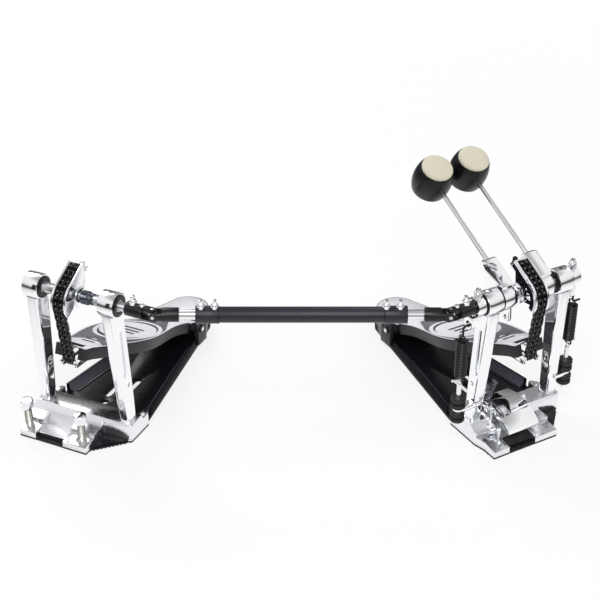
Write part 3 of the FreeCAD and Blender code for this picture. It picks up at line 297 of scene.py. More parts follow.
# Solids whose finish is not their slot's
OWN_FINISH = {
    CHROME_BAR: ("main_beater_rod", "second_beater_rod", "main_rod", "slave_rod", "spring_stems",
                 "slave_left_spur", "slave_right_spur"),
    SATIN_CHROME: ("main_bed", "slave_bed"),
    BLACK_OXIDE: ("main_heel_pin", "slave_heel_pin"),
    BRIGHT_STEEL: ("main_cross", "slave_cross"),
    GUNMETAL: ("clamp_screw",),
}


def joint(name: str) -> dict:
    """Return a joint of the frame by name."""
    return next(j for j in frame["joints"] if j["name"] == name)


def shift(x: float, y: float, z: float) -> Matrix:
    """Return a move by millimetres."""
    return Matrix.Translation((x * MM, y * MM, z * MM))


def along(direction: Vector, at: Vector, side: Vector | None = None) -> Matrix:
    """Place a form drawn up the Z axis.

    Args:
        direction: where its Z axis goes.
        at: where its origin goes.
        side: a hint for its X axis.

    Returns:
        The placing matrix.
    """
    z = direction.normalized()
    hint = side or (Vector((1, 0, 0)) if abs(z.x) < NEAR_X else Vector((0, 1, 0)))
    y = z.cross(hint).normalized()
    turn = Matrix((y.cross(z), y, z)).transposed().to_4x4()
    return Matrix.Translation(at) @ turn


def edges_of(verts: Iterable[BMVert]) -> list[BMEdge]:
    """Return the edges that meet in some corners, each once."""
    return list(dict.fromkeys(e for v in verts for e in v.link_edges))


def shade(data: Mesh) -> None:
    """Shade a mesh smooth between its sharp edges."""
    data.shade_smooth()
    data.set_sharp_from_angle(angle=SMOOTH_ANGLE)


def soften(piece: Object, edge_mm: float) -> None:
    """Round a piece's edges enough to catch the light.

    Args:
        piece: the object.
        edge_mm: the round's width.
    """
    weld = piece.modifiers.new("weld", "WELD")
    weld.merge_threshold = WELD_MM * MM
    edge = piece.modifiers.new("edge", "BEVEL")
    edge.width = edge_mm * MM
    edge.segments = BEVEL_STEPS
    edge.limit_method = "ANGLE"
    edge.angle_limit = EDGE_ANGLE
    edge.use_clamp_overlap = True
    shade(piece.data)


def set_out(name: str, data: ID) -> Object:
    """Make an object of some data and link it to the scene.

    Args:
        name: the object's name.
        data: its mesh, lamp or camera.

    Returns:
        The object.
    """
    made = bpy.data.objects.new(name, data)
    bpy.context.scene.collection.objects.link(made)
    return made


@dataclass
class Draft:
    """A piece in the making: a mesh in the row frame, with tools that take millimetres."""

    mesh: BMesh = field(default_factory=bmesh.new)

    @classmethod
    def copy_of(cls, node: str) -> "Draft":
        """Start from a solid's mesh with its loose triangles joined.

        Args:
            node: the solid's name.

        Returns:
            The draft.
        """
        draft = cls()
        draft.mesh.from_mesh(frame["nodes"][node].data)
        bmesh.ops.remove_doubles(draft.mesh, verts=draft.mesh.verts, dist=JOIN_M)
        draft.mesh.normal_update()
        return draft

    def move(self, matrix: Matrix, verts: Sequence[BMVert] | None = None) -> None:
        """Move some corners, or all of them, by a matrix."""
        bmesh.ops.transform(self.mesh, matrix=matrix, verts=verts or self.mesh.verts)

    def since(self, before: set[BMVert]) -> list[BMVert]:
        """Return the corners that were not there before."""
        return [v for v in self.mesh.verts if v not in before]

    def keep(self, wanted: Callable[[BMFace], bool]) -> None:
        """Delete the faces that a test turns down."""
        bmesh.ops.delete(self.mesh, geom=[f for f in self.mesh.faces if not wanted(f)], context="FACES")

    def keep_top(self, height: float, near: float) -> None:
        """Keep the level faces that lie near a height."""
        self.keep(lambda f: f.normal.z >= LEVEL and abs(f.calc_center_median().z / MM - height) <= near)

    def strip(self, wide: float) -> set[BMFace]:
        """Part a strip from the rest of a sheet, along its edge, and return the strip's faces."""
        return set(bmesh.ops.inset_region(self.mesh, faces=self.mesh.faces[:], thickness=wide * MM,
                                          use_boundary=True, use_even_offset=True)["faces"])

    def trim(self, wide: float) -> None:
        """Take a strip off a sheet's edge."""
        strip = self.strip(wide)
        self.keep(lambda f: f not in strip)

    def cut(self, point: Pair, normal: Pair, clear: bool = False) -> None:
        """Cut a sheet along a line through a point, and clear what lies the normal's way if asked."""
        everything = [*self.mesh.verts, *self.mesh.edges, *self.mesh.faces]
        bmesh.ops.bisect_plane(self.mesh, geom=everything, plane_co=(point[0] * MM, point[1] * MM, 0),
                               plane_no=(*normal, 0), clear_outer=clear)

    def thicken(self, thick: float) -> None:
        """Give a sheet a thickness."""
        bmesh.ops.solidify(self.mesh, geom=self.mesh.faces[:], thickness=thick * MM)

    def box(self, place: Matrix, size: Sequence[float]) -> list[BMVert]:
        """Add a sharp box centred on a place, and return its corners."""
        scale = Matrix.Diagonal((*[s * MM for s in size], 1))
        return bmesh.ops.create_cube(self.mesh, size=1.0, matrix=place @ scale)["verts"]

    def block(self, place: Matrix, size: Sequence[float], edge: float) -> None:
        """Add a box centred on a place, with edges bevelled to a width."""
        edges = edges_of(self.box(place, size))
        bmesh.ops.bevel(self.mesh, geom=edges, offset=edge * MM, offset_type="OFFSET", affect="EDGES",
                        segments=BEVEL_STEPS, profile=0.5, material=-1)

    def disc(self, place: Matrix, radius: float, tall: float, sides: int = 24) -> None:
        """Add a washer or nut that stands on a place, up its Z axis."""
        bmesh.ops.create_cone(self.mesh, cap_ends=True, segments=sides, radius1=radius * MM,
                              radius2=radius * MM, depth=tall * MM, matrix=place @ shift(0, 0, tall / 2))

    def lathe(self, place: Matrix, section: Iterable[Pair], steps: int) -> None:
        """Add a turned form.

        Args:
            place: its frame; the form's axis is Z.
            section: its radius and height at each point, from one end to the other.
            steps: how many faces go round it.
        """
        before = set(self.mesh.verts)
        verts = [self.mesh.verts.new((r * MM, 0, h * MM)) for r, h in section]
        edges = [self.mesh.edges.new(pair) for pair in zip(verts, verts[1:])]
        bmesh.ops.spin(self.mesh, geom=verts + edges, cent=(0, 0, 0), axis=(0, 0, 1), angle=2 * math.pi,
                       steps=steps, use_merge=True, use_duplicate=False)
        bmesh.ops.remove_doubles(self.mesh, verts=self.since(before), dist=SPIN_JOIN_M)
        self.move(place, self.since(before))

    def data(self, name: str) -> Mesh:
        """Turn the draft into an object's mesh.

        Args:
            name: the mesh's name.

        Returns:
            The mesh.
        """
        data = bpy.data.meshes.new(name)
        self.mesh.to_mesh(data)
        self.mesh.free()
        return data

    def piece(self, name: str, finish: Finish, body: str, slot: str, smooth: bool = True,
              second: Finish | None = None) -> Object:
        """Finish the draft as a piece that rides on a body.

        Args:
            name: the piece's name.
            finish: its material.
            body: the body it rides on, or nothing for a piece that rides on none.
            slot: not used.
            smooth: whether gentle edges are shaded smooth.
            second: the material of the faces that are marked with index one.

        Returns:
            The new object.
        """
        bmesh.ops.remove_doubles(self.mesh, verts=self.mesh.verts, dist=JOIN_M)
        bmesh.ops.recalc_face_normals(self.mesh, faces=self.mesh.faces)
        data = self.data(name)
        for layer in (finish, second):
            if layer:
                data.materials.append(layer.material())
        if smooth:
            shade(data)
        made = set_out(name, data)
        if body:
            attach(made, body)
        LOG.info("piece %s on %s, %d faces", name, body or "a blend", len(data.polygons))
        return made


@dataclass(frozen=True)
class KeyBolt:
    """A square-headed key bolt on a round collar, over a washer where it has one."""

    collar_r: float
    square: float
    rise: float
    washer: Pair | None = None
    overlap: float = 0.4
    sunk: float = 0.4
    collar_share: float = 0.45
    wall_share: float = 0.5
    shoulder_share: Pair = (0.92, 0.75)
    neck_share: float = 0.62
    edge_share: float = 0.12
    steps: int = 24

    def stand(self, draft: Draft, way: Vector, seat: Vector, side: Vector) -> None:
        """Add the bolt to a draft.

        Args:
            draft: where it is added.
            way: where the bolt points.
            seat: the middle of its seat.
            side: where one of the head's flats looks.
        """
        if self.washer:
            draft.disc(along(way, seat), *self.washer)
            seat = seat + way * (self.washer[1] - self.overlap) * MM
        place = along(way, seat, side)
        r, tall = self.collar_r, self.rise * self.collar_share
        wide, high = self.shoulder_share
        draft.lathe(place, [
            (0, -self.sunk), (r, -self.sunk), (r, tall * self.wall_share), (r * wide, tall * high),
            (self.square * self.neck_share, tall), (0, tall),
        ], self.steps)
        head = self.rise - tall
        draft.block(place @ shift(0, 0, tall + head / 2), (self.square, self.square, head + self.sunk),
                    self.square * self.edge_share)


class Owner(Enum):
    """What a piece belongs to: the main pedal and its beater, the slave pedal, or the second beater."""

    MAIN = "main"
    SLAVE = "slave"
    SECOND = "second"


# How far across the axle each beater's head stands, in millimetres
HEAD_ACROSS = {Owner.MAIN: 21.0, Owner.SECOND: -27.0}


@dataclass
class Dress:
    """What is put on one owner."""

    owner: Owner

    def named(self, end: str) -> str:
        """Return a name that starts with the owner's."""
        return f"{self.owner.value}_{end}"

    @property
    def axle(self) -> Vector:
        """The point about which the owner's axle turns."""
        return Vector(joint(self.named("beat"))["pos_m"])

    @property
    def matrix(self) -> Matrix:
        """A pedal's own frame: X along its axle, Y to the heel, origin on the floor under the axle.

        Returns:
            The frame, placed in the row frame.
        """
        x = Vector(joint(self.named("beat"))["axis"]).normalized()
        turn = Matrix((x, UP.cross(x), UP)).transposed().to_4x4()
        return Matrix.Translation((self.axle.x, self.axle.y, 0)) @ turn

    def point(self, x: float, y: float, z: float) -> Vector:
        """Return a point given in millimetres of the pedal's frame."""
        return self.matrix @ Vector((x * MM, y * MM, z * MM))

    def way(self, x: float, y: float, z: float) -> Vector:
        """Return a direction given in the pedal's frame."""
        return (self.matrix.to_3x3() @ Vector((x, y, z))).normalized()


@dataclass
class Solids:
    """The pieces that keep their drawn shape and only get a finish and softened edges."""

    edge_mm: float = 0.35

    def dress(self) -> None:
        """Give every solid its finish, and its edges a small round."""
        slots = {s["node"]: s["material_slot"] for s in frame["record"]["subparts"]}
        own = {node: finish for finish, nodes in OWN_FINISH.items() for node in nodes}
        for name, node in sorted(frame["nodes"].items()):
            node.data.materials.clear()
            node.data.materials.append(own.get(name, SLOT_FINISH[slots[name]]).material())
            soften(node, self.edge_mm)


@dataclass
class ChainCam(Dress):
    """A unit's cam: chrome, with a black web on its left side, an end wall and a stop screw on a tab."""

    web_mm: float = 4.0
    near_mm: float = 0.2
    web_facing: float = 0.9
    rim_facing: float = 0.6
    edge_mm: float = 0.3
    top_deg: float = 27.8
    wall_at: Triple = (0.0, 10.7, 201.2)
    wall_size: Triple = (13.1, 2.0, 5.4)
    wall_edge: float = 0.5
    tab_at: Triple = (5.4, 13.0, 194.0)
    tab_size: Triple = (6.6, 11.0, 5.0)
    tab_edge: float = 0.8
    screw_y: float = 14.0
    screw: Section = ((0, 0), (2.7, 0), (2.7, 7.9), (2.1, 8.5), (1.5, 8.5), (1.4, 7.0), (0, 7.0))
    screw_steps: int = 28
    nut: tuple[float, float, int] = (3.9, 2.0, 6)
    nose: Pair = (-5.9, 169.0)
    band: Pair = (14.3, 19.9)
    band_from_deg: float = -29.5
    band_long: float = 30.0
    band_x: float = -9.02
    band_thick: float = 0.06
    band_steps: int = 20

    def build(self) -> None:
        """Make the two-tone cam and the fittings at its upper end."""
        self.two_tone()
        self.black_band()
        self.fittings()

    def two_tone(self) -> None:
        """Copy the drawn cam and blacken what lies inside its rim on the left."""
        draft = Draft.copy_of(self.named("cam"))
        side, axle = self.way(1, 0, 0), self.axle
        for face in draft.mesh.faces:
            off = face.calc_center_median() - axle
            across = off.dot(side) / MM
            inward = (side * off.dot(side) - off).normalized()
            web = face.normal.dot(side) < -self.web_facing and abs(across + self.web_mm) < self.near_mm
            rim = across < -self.web_mm and face.normal.dot(inward) > self.rim_facing
            face.material_index = int(web or rim)
        cam = draft.piece(self.named("two_tone_cam"), CHROME, self.named("axle"), "cam_metal", second=POWDER)
        soften(cam, self.edge_mm)
        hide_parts(self.named("cam"))

    def black_band(self) -> None:
        """Lay the black paint on the rim's left face, up to a bright edge."""
        draft = Draft()
        y, z = self.nose
        start, top = math.radians(self.band_from_deg), math.radians(self.top_deg)
        verts = [draft.mesh.verts.new((self.band_x * MM, (y - r * math.cos(start)) * MM,
                                       (z + r * math.sin(start)) * MM)) for r in self.band]
        first = draft.mesh.edges.new(verts)
        spun = bmesh.ops.spin(draft.mesh, geom=[*verts, first], cent=(0, y * MM, z * MM), axis=(1, 0, 0),
                              angle=start + top - math.pi / 2, steps=self.band_steps, use_merge=False,
                              use_duplicate=False)
        last = [g for g in spun["geom_last"] if isinstance(g, BMEdge)]
        drawn = bmesh.ops.extrude_edge_only(draft.mesh, edges=last)["geom"]
        draft.move(shift(0, self.band_long * math.cos(top), self.band_long * math.sin(top)),
                   [g for g in drawn if isinstance(g, BMVert)])
        draft.thicken(self.band_thick)
        draft.move(self.matrix)
        draft.piece(self.named("cam_black_band"), POWDER, self.named("axle"), "cam_metal", False)

    def fittings(self) -> None:
        """Add the wall where the chain ends, and the stop screw on its tab."""
        main = self.owner is Owner.MAIN
        x, y, z = self.tab_at
        x = -x if main else x
        wall = Draft()
        slope = Matrix.Rotation(math.radians(self.top_deg), 4, "X")
        wall.block(self.matrix @ shift(*self.wall_at) @ slope, self.wall_size, self.wall_edge)
        wall.block(self.matrix @ shift(x, y, z), self.tab_size, self.tab_edge)
        wall.piece(self.named("cam_end"), CHROME, self.named("axle"), "chrome")
        screw = Draft()
        seat = along(UP, self.point(x, self.screw_y, z + self.tab_size[2] / 2))
        screw.disc(seat, *self.nut)
        screw.lathe(seat, self.screw, self.screw_steps)
        finish, slot = (BLACK_OXIDE, "black_metal") if main else (CHROME_BAR, "chrome")
        screw.piece(self.named("cam_screw"), finish, self.named("axle"), slot)


@dataclass
class RollerChain(Dress):
    """The double-row chain of a unit, which rolls off its cam as the pedal goes down."""

    stays: Pair = (-15.7, 187.6)
    hangs: Pair = (-26.7, 166.0)
    rollers: Pair = (1.9, 4.1)
    rivet: float = 6.1

    def build(self) -> None:
        """Copy the drawn chain's wrap and run, with their rollers marked bright."""
        for part, body in (("chain_wrap", self.named("axle")), ("chain_run", "")):
            draft = Draft.copy_of(self.named(part))
            self.brighten(draft)
            links = draft.piece(self.named("bright_" + part), CHAIN_OXIDE, body, "black_chain", second=ROLLER)
            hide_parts(self.named(part))
        start, end = (tuple(self.point(0, *at)) for at in (self.stays, self.hangs))
        self.named("axle")
        self.named("chain")
        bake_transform(links)
        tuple(start)
        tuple(end)

    def brighten(self, draft: Draft) -> None:
        """Mark the rollers and the rivets' ends for their bright finish.

        Args:
            draft: the links.
        """
        side, middle = self.way(1, 0, 0), self.point(0, 0, 0)
        low, high = self.rollers
        for face in draft.mesh.faces:
            across = abs((face.calc_center_median() - middle).dot(side)) / MM
            if low < across < high or across > self.rivet:
                face.material_index = 1


@dataclass
class ReturnSpring(Dress):
    """A wound tension spring between the rocker's hook and its stem."""

    wire_mm: float = 0.75
    turns: int = 22
    steps: int = 24
    eye_mm: float = 3.2
    eye_wide: float = 1.6
    sides: int = 10

    def build(self) -> None:
        """Wind the coil and its two eyes round a damping sleeve."""
        name = self.named("spring")
        low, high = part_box(name)
        middle = (low + high) / 2
        coil_r = (high.x - low.x) / 2 / MM - self.wire_mm
        eye_rise = 2 * self.eye_mm + self.wire_mm
        base = low.z / MM + eye_rise
        length = high.z / MM - eye_rise - base
        draft = Draft()
        self.wind(draft, coil_r, length, base)
        self.eye(draft, base - self.eye_mm)
        self.eye(draft, base + length + self.eye_mm)
        rings = [(coil_r, base + length * k / self.turns) for k in range(self.turns + 1)]
        draft.lathe(Matrix.Identity(4), [(0, base), *rings, (0, base + length)], self.steps)
        draft.move(Matrix.Translation((middle.x, middle.y, 0)))
        spring = draft.piece(name + "_coil", SPRING_WIRE, "", "spring_black")
        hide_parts(name)
        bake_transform(spring)

    def wire(self, draft: Draft, place: Matrix) -> list:
        """Start a wire with a round at a place, and return its corners and edges."""
        ring = bmesh.ops.create_circle(draft.mesh, segments=self.sides, radius=self.wire_mm * MM,
                                       matrix=place)
        return [*ring["verts"], *edges_of(ring["verts"])]

    def wind(self, draft: Draft, coil_r: float, length: float, base: float) -> None:
        """Wind the wire up into a coil.

        Args:
            draft: where it is added.
            coil_r: the coil's mean radius in millimetres.
            length: the coil's length.
            base: its lower end's height.
        """
        start = self.wire(draft, shift(coil_r, 0, base) @ Matrix.Rotation(math.pi / 2, 4, "X"))
        count = self.turns * self.steps
        bmesh.ops.spin(draft.mesh, geom=start, cent=(0, 0, 0), axis=(0, 0, 1), angle=2 * math.pi * self.turns,
                       steps=count, dvec=(0, 0, length * MM / count), use_merge=False, use_duplicate=False)

    def eye(self, draft: Draft, height: float) -> None:
        """Add an oblong eye across the coil's end.

        Args:
            draft: where it is added.
            height: the eye's middle in millimetres.
        """
        before = set(draft.mesh.verts)
        start = self.wire(draft, shift(0, self.eye_mm, height))
        bmesh.ops.spin(draft.mesh, geom=start, cent=(0, 0, height * MM), axis=(1, 0, 0), angle=2 * math.pi,
                       steps=self.steps, use_merge=True, use_duplicate=False)
        draft.move(Matrix.Diagonal((1, self.eye_wide, 1, 1)), draft.since(before))


@dataclass
class BeaterPad(Dress):
    """The domed felt pad in a beater's head."""

    lean_deg: float = 64.0
    rod_off: float = 11.0
    head_out: float = 157.0
    head_half: float = 16.0
    steps: int = 64
    section: Section = (
        (0, -2.7), (17.0, -2.7), (17.0, 0.0), (17.3, 0.8), (17.3, 1.9), (16.9, 3.1), (15.9, 4.2), (14.0, 5.2),
        (11.0, 6.1), (7.0, 6.7), (3.5, 6.95), (0, 7.0),
    )

    def build(self) -> None:
        """Turn the pad about the head's axis and set it in the head's seat."""
        lean = Matrix.Rotation(math.radians(-self.lean_deg), 3, "X")
        seat = Vector((HEAD_ACROSS[self.owner], -self.rod_off - self.head_half, self.head_out))
        draft = Draft()
        draft.lathe(along(lean @ Vector((0, -1, 0)), lean @ seat * MM + self.axle), self.section, self.steps)
        pad = draft.piece(self.named("beater_pad"), FELT, self.named("axle"), "beater_pad")
        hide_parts(self.named("beater_face"))


@dataclass
class TensionKnob(Dress):
    """The knurled knob and lock nut on a spring's stem."""

    lug_mm: float = 4.0
    bore: float = 2.6
    foot: float = 0.1
    soft: float = 0.8
    groove_share: float = 0.09
    groove_deep: float = 1.2
    ridges: int = 28
    ridge_mm: float = 0.45
    ridge_wide: float = 0.8
    ridge_in: Pair = (1.4, 0.5)

    def build(self) -> None:
        """Turn both bodies with their grooves and raise ridges round them."""
        name = self.named("spring_knob")
        low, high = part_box(name)
        middle = (low + high) / 2
        lug = joint("main_knob_turn")["pos_m"][2]  # both lugs are at one height
        radius = (high.x - low.x) / 2 / MM
        draft = Draft()
        for z0, z1 in ((lug, high.z), (low.z, lug - self.lug_mm * MM)):
            self.grip(draft, Matrix.Translation((middle.x, middle.y, z0)), radius, (z1 - z0) / MM)
        knob = draft.piece(name + "_grip", NYLON, self.named("knob"), "knob_black")
        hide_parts(name)

    def grip(self, draft: Draft, place: Matrix, radius: float, tall: float) -> None:
        """Add one grip: two ridged drums with a groove between.

        Args:
            draft: where it is added.
            place: its foot.
            radius: over the ridges, in millimetres.
            tall: its height.
        """
        core, half, groove = radius - self.ridge_mm, tall / 2, tall * self.groove_share
        waist, bore, foot, soft = core - self.groove_deep, self.bore, self.foot, self.soft
        draft.lathe(place, [
            (bore, foot), (core - soft, foot), (core, foot + soft), (core, half - groove),
            (waist, half - groove), (waist, half + groove), (core, half + groove), (core, tall - soft),
            (core - soft, tall), (bore, tall),
        ], 2 * self.ridges)
        outer, inner = self.ridge_in
        for z0, z1 in ((outer, half - groove - inner), (half + groove + inner, tall - outer)):
            size = (2 * self.ridge_mm, self.ridge_wide, z1 - z0)
            for k in range(self.ridges):
                turn = Matrix.Rotation(2 * math.pi * k / self.ridges, 4, "Z")
                draft.box(place @ turn @ shift(core, 0, (z0 + z1) / 2), size)


@dataclass
class DriveShaft:
    """The telescoping shaft's collar rings and key bolts, and the screws of the axle-side yokes."""

    tube_start: float = 43.5
    collar_len: float = 24.0
    bolt: KeyBolt = KeyBolt(3.6, 4.2, 7.0, (4.4, 2.4))
    bolt_seat: float = 8.0
    bolts_at: tuple[float, ...] = (51.0, 65.0, 238.5, 252.5)
    ring: Section = ((8.6, 0), (9.45, 0.2), (9.45, 1.0), (8.6, 1.2))
    ring_steps: int = 48
    yoke_bolt: KeyBolt = KeyBolt(3.6, 4.2, 7.0, (4.4, 2.6))
    yoke_top: float = 7.2
    second_reach: float = -76.5
    slave_reach: float = 72.5
    cap: Section = ((0, 0), (2.9, 0), (2.9, 1.6), (2.2, 2.3), (0, 2.3))
    cap_steps: int = 24
    cap_out: float = 11.0
    cap_sunk: float = 0.4

    def build(self) -> None:
        """Dress both collars and both axle-side yokes."""
        start = Vector(joint("drive_turn")["pos_m"])
        far = Vector(joint("slave_cross_turn")["pos_m"])
        way = (far - start).normalized()
        span = (far - start).length / MM
        bolts = Draft()
        for reach in self.bolts_at:
            self.bolt.stand(bolts, UP, start + way * reach * MM + UP * self.bolt_seat * MM, way)
        bolts.piece("collar_key_bolts", CHROME_BAR, "drive_shaft", "chrome")
        rings = Draft()
        for end in (self.tube_start, span - self.tube_start - self.collar_len):
            for inset in (0.0, self.collar_len - self.ring[-1][1]):
                rings.lathe(along(way, start + way * (end + inset) * MM), self.ring, self.ring_steps)
        rings.piece("collar_end_rings", BLACK_OXIDE, "drive_shaft", "black_metal")
        self.yoke_screws("second", Dress(Owner.MAIN), self.second_reach)
        self.yoke_screws("slave", Dress(Owner.SLAVE), self.slave_reach)

    def yoke_screws(self, name: str, pedal: Dress, reach: float) -> None:
        """Add an axle-side yoke's clamp screw and the cap beside it.

        Args:
            name: what the axle's and the piece's names start with.
            pedal: the pedal whose frame it is placed in.
            reach: how far along the axle the screw sits, in millimetres.
        """
        draft = Draft()
        height = Dress(Owner.MAIN).axle.z / MM + self.yoke_top  # both axles are at one height
        self.yoke_bolt.stand(draft, UP, pedal.point(reach, 0, height), pedal.way(1, 1, 0))
        cap = pedal.point(reach + math.copysign(self.cap_out, reach), 0, height - self.cap_sunk)
        draft.lathe(along(UP, cap), self.cap, self.cap_steps)
        draft.piece(name + "_yoke_screws", CHROME_BAR, name + "_axle", "chrome")


@dataclass
class BoardTop(Dress):
    """The print on a footboard: violet field, pale border, heel and toe, and an oval with plain bars."""

    slope_deg: float = 21.325
    top_mm: float = 6.5
    near_mm: float = 0.3
    margin: float = 0.5
    border_wide: float = 2.0
    lift_mm: float = 0.06
    thick_mm: float = 0.08
    heel_end: float = 33.0
    heel_in: float = 8.0
    flare: Pair = (17.0, 36.0)
    slots_half: float = 13.0
    slots_from: float = 182.0
    slots_to: float = 206.0
    toe_start: float = 181.0
    toe_edge: float = 205.0
    toe_half: float = 24.0
    plate_at: float = 113.5
    plate_wide: float = 33.0
    plate_long: float = 54.0
    plate_steps: int = 72
    ovals: tuple[tuple[str, Finish, float, float, int], ...] = (
        ("plate", PRINT, 1.0, 1.0, 4), ("crescents", LACQUER, 0.86, 0.9, 5), ("middle", PRINT, 0.87, 0.78, 6),
    )
    bar_size: Triple = (28.0, 5.4, 0.1)
    bar_edge: float = 0.02
    bar_step: float = 11.5
    bar_lift: float = 0.4

    def build(self) -> None:
        """Lay the print on the board."""
        self.lay("field", self.sheet(False), FIELD, 1)
        self.border()
        self.heel()
        self.toe()
        self.oval()

    @property
    def lie(self) -> Matrix:
        """The board's own frame: origin on the heel pin, Y away from the toe, Z off the board's top."""
        turn = self.matrix.to_3x3().to_4x4() @ Matrix.Rotation(math.radians(-self.slope_deg), 4, "X")
        return Matrix.Translation(joint(self.named("pedal"))["pos_m"]) @ turn

    def sheet(self, filled: bool) -> Draft:
        """Copy the board's flat top, a little in from its edge, in the board's own frame.

        Args:
            filled: whether the tread slots are closed.

        Returns:
            The sheet.
        """
        draft = Draft.copy_of(self.named("footboard"))
        draft.move(self.lie.inverted())
        draft.mesh.normal_update()
        draft.keep_top(self.top_mm, self.near_mm)
        if filled:
            slots = [e for e in draft.mesh.edges if e.is_boundary and self.by_slot(e)]
            bmesh.ops.holes_fill(draft.mesh, edges=slots, sides=0)
        draft.trim(self.margin)
        return draft

    def by_slot(self, edge: BMEdge) -> bool:
        """Whether an edge of the top belongs to a tread slot."""
        middle = (edge.verts[0].co + edge.verts[1].co) / 2 / MM
        return abs(middle.x) < self.slots_half and self.slots_from < -middle.y < self.slots_to

    def lay(self, end: str, draft: Draft, finish: Finish, layer: int) -> None:
        """Give a sheet the print's thickness and put it on the board.

        Args:
            end: the end of the piece's name.
            draft: the sheet in the board's frame.
            finish: the print's colour.
            layer: how many layers over the board it lies.
        """
        draft.move(shift(0, 0, layer * self.lift_mm))
        draft.thicken(self.thick_mm)
        draft.move(self.lie)
        draft.piece(self.named("board_" + end), finish, self.named("footboard"), "board", False)

    def border(self) -> None:
        """Lay the line that runs round the board."""
        draft = self.sheet(True)
        strip = draft.strip(self.border_wide)
        draft.keep(lambda f: f in strip)
        self.lay("border", draft, PRINT, 3)

    def heel(self) -> None:
        """Lay the pale heel, which runs out along both edges."""
        draft = self.sheet(True)
        run, rise = self.flare
        lines = [((0, -self.heel_end), (0, 1))]
        lines += [((way * self.heel_in, -self.heel_end), (way * rise, run)) for way in BOTH_SIDES]
        for point, normal in lines:
            draft.cut(point, normal)

        def pale(face: BMFace) -> bool:
            """Whether a face lies beyond one of the lines."""
            at = face.calc_center_median() / MM
            return any((at.x - p[0]) * n[0] + (at.y - p[1]) * n[1] >= 0 for p, n in lines)

        draft.keep(pale)
        self.lay("heel", draft, PRINT, 2)

    def toe(self) -> None:
        """Lay the pale toe, pointed towards the heel, with its slots left open."""
        draft = self.sheet(False)
        for way in BOTH_SIDES:
            across = (way * (self.toe_edge - self.toe_start), self.toe_half)
            draft.cut((0, -self.toe_start), across, True)
        self.lay("toe", draft, PRINT, 2)

    def oval(self) -> None:
        """Lay the pale oval, a dark crescent inside each end and three plain bars."""
        for name, finish, wide, long, layer in self.ovals:
            draft = Draft()
            size = Matrix.Diagonal((self.plate_wide * wide * MM, self.plate_long * long * MM, 1, 1))
            bmesh.ops.create_circle(draft.mesh, cap_ends=True, segments=self.plate_steps, radius=1.0,
                                    matrix=shift(0, -self.plate_at, self.top_mm) @ size)
            self.lay("oval_" + name, draft, finish, layer)
        bars = Draft()
        for k in (-1, 0, 1):
            at = shift(0, k * self.bar_step - self.plate_at, self.top_mm + self.bar_lift)
            bars.block(self.lie @ at, self.bar_size, self.bar_edge)
        bars.piece(self.named("board_bars"), LACQUER, self.named("footboard"), "board", False)


@dataclass
class HeelTop(Dress):
    """The silver print on a heel plate, and the bright ends of its hinge pin."""

    top_mm: float = 28.0
    near_mm: float = 0.2
    margin: float = 0.9
    lift_mm: float = 0.06
    thick_mm: float = 0.08
    pin_end: Section = ((0, -0.5), (2.5, -0.5), (2.5, 0.3), (2.0, 0.6), (0, 0.6))
    pin_steps: int = 28

    def build(self) -> None:
        """Lay the print and face the pin's ends."""
        self.lay_print()
        self.face_pin()

    def lay_print(self) -> None:
        """Copy the plate's flat top, draw it in from the edge and lay it as print."""
        draft = Draft.copy_of(self.named("heel_plate"))
        draft.keep_top(self.top_mm, self.near_mm)
        draft.trim(self.margin)
        draft.move(shift(0, 0, self.lift_mm))
        draft.thicken(self.thick_mm)
        draft.piece(self.named("heel_print"), PRINT, self.named("frame"), "heel_metal", False)

    def face_pin(self) -> None:
        """Set a turned centre in each end of the hinge pin."""
        hinge = joint(self.named("pedal"))
        axis = Vector(hinge["axis"]).normalized()
        low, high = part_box("main_heel_pin")  # the pins are alike, and this one lies along X
        half = (high.x - low.x) / 2
        draft = Draft()
        for way in BOTH_SIDES:
            seat = Vector(hinge["pos_m"]) + axis * way * half
            draft.lathe(along(axis * way, seat), self.pin_end, self.pin_steps)
        draft.piece(self.named("heel_pin_ends"), CHROME_BAR, self.named("frame"), "steel")


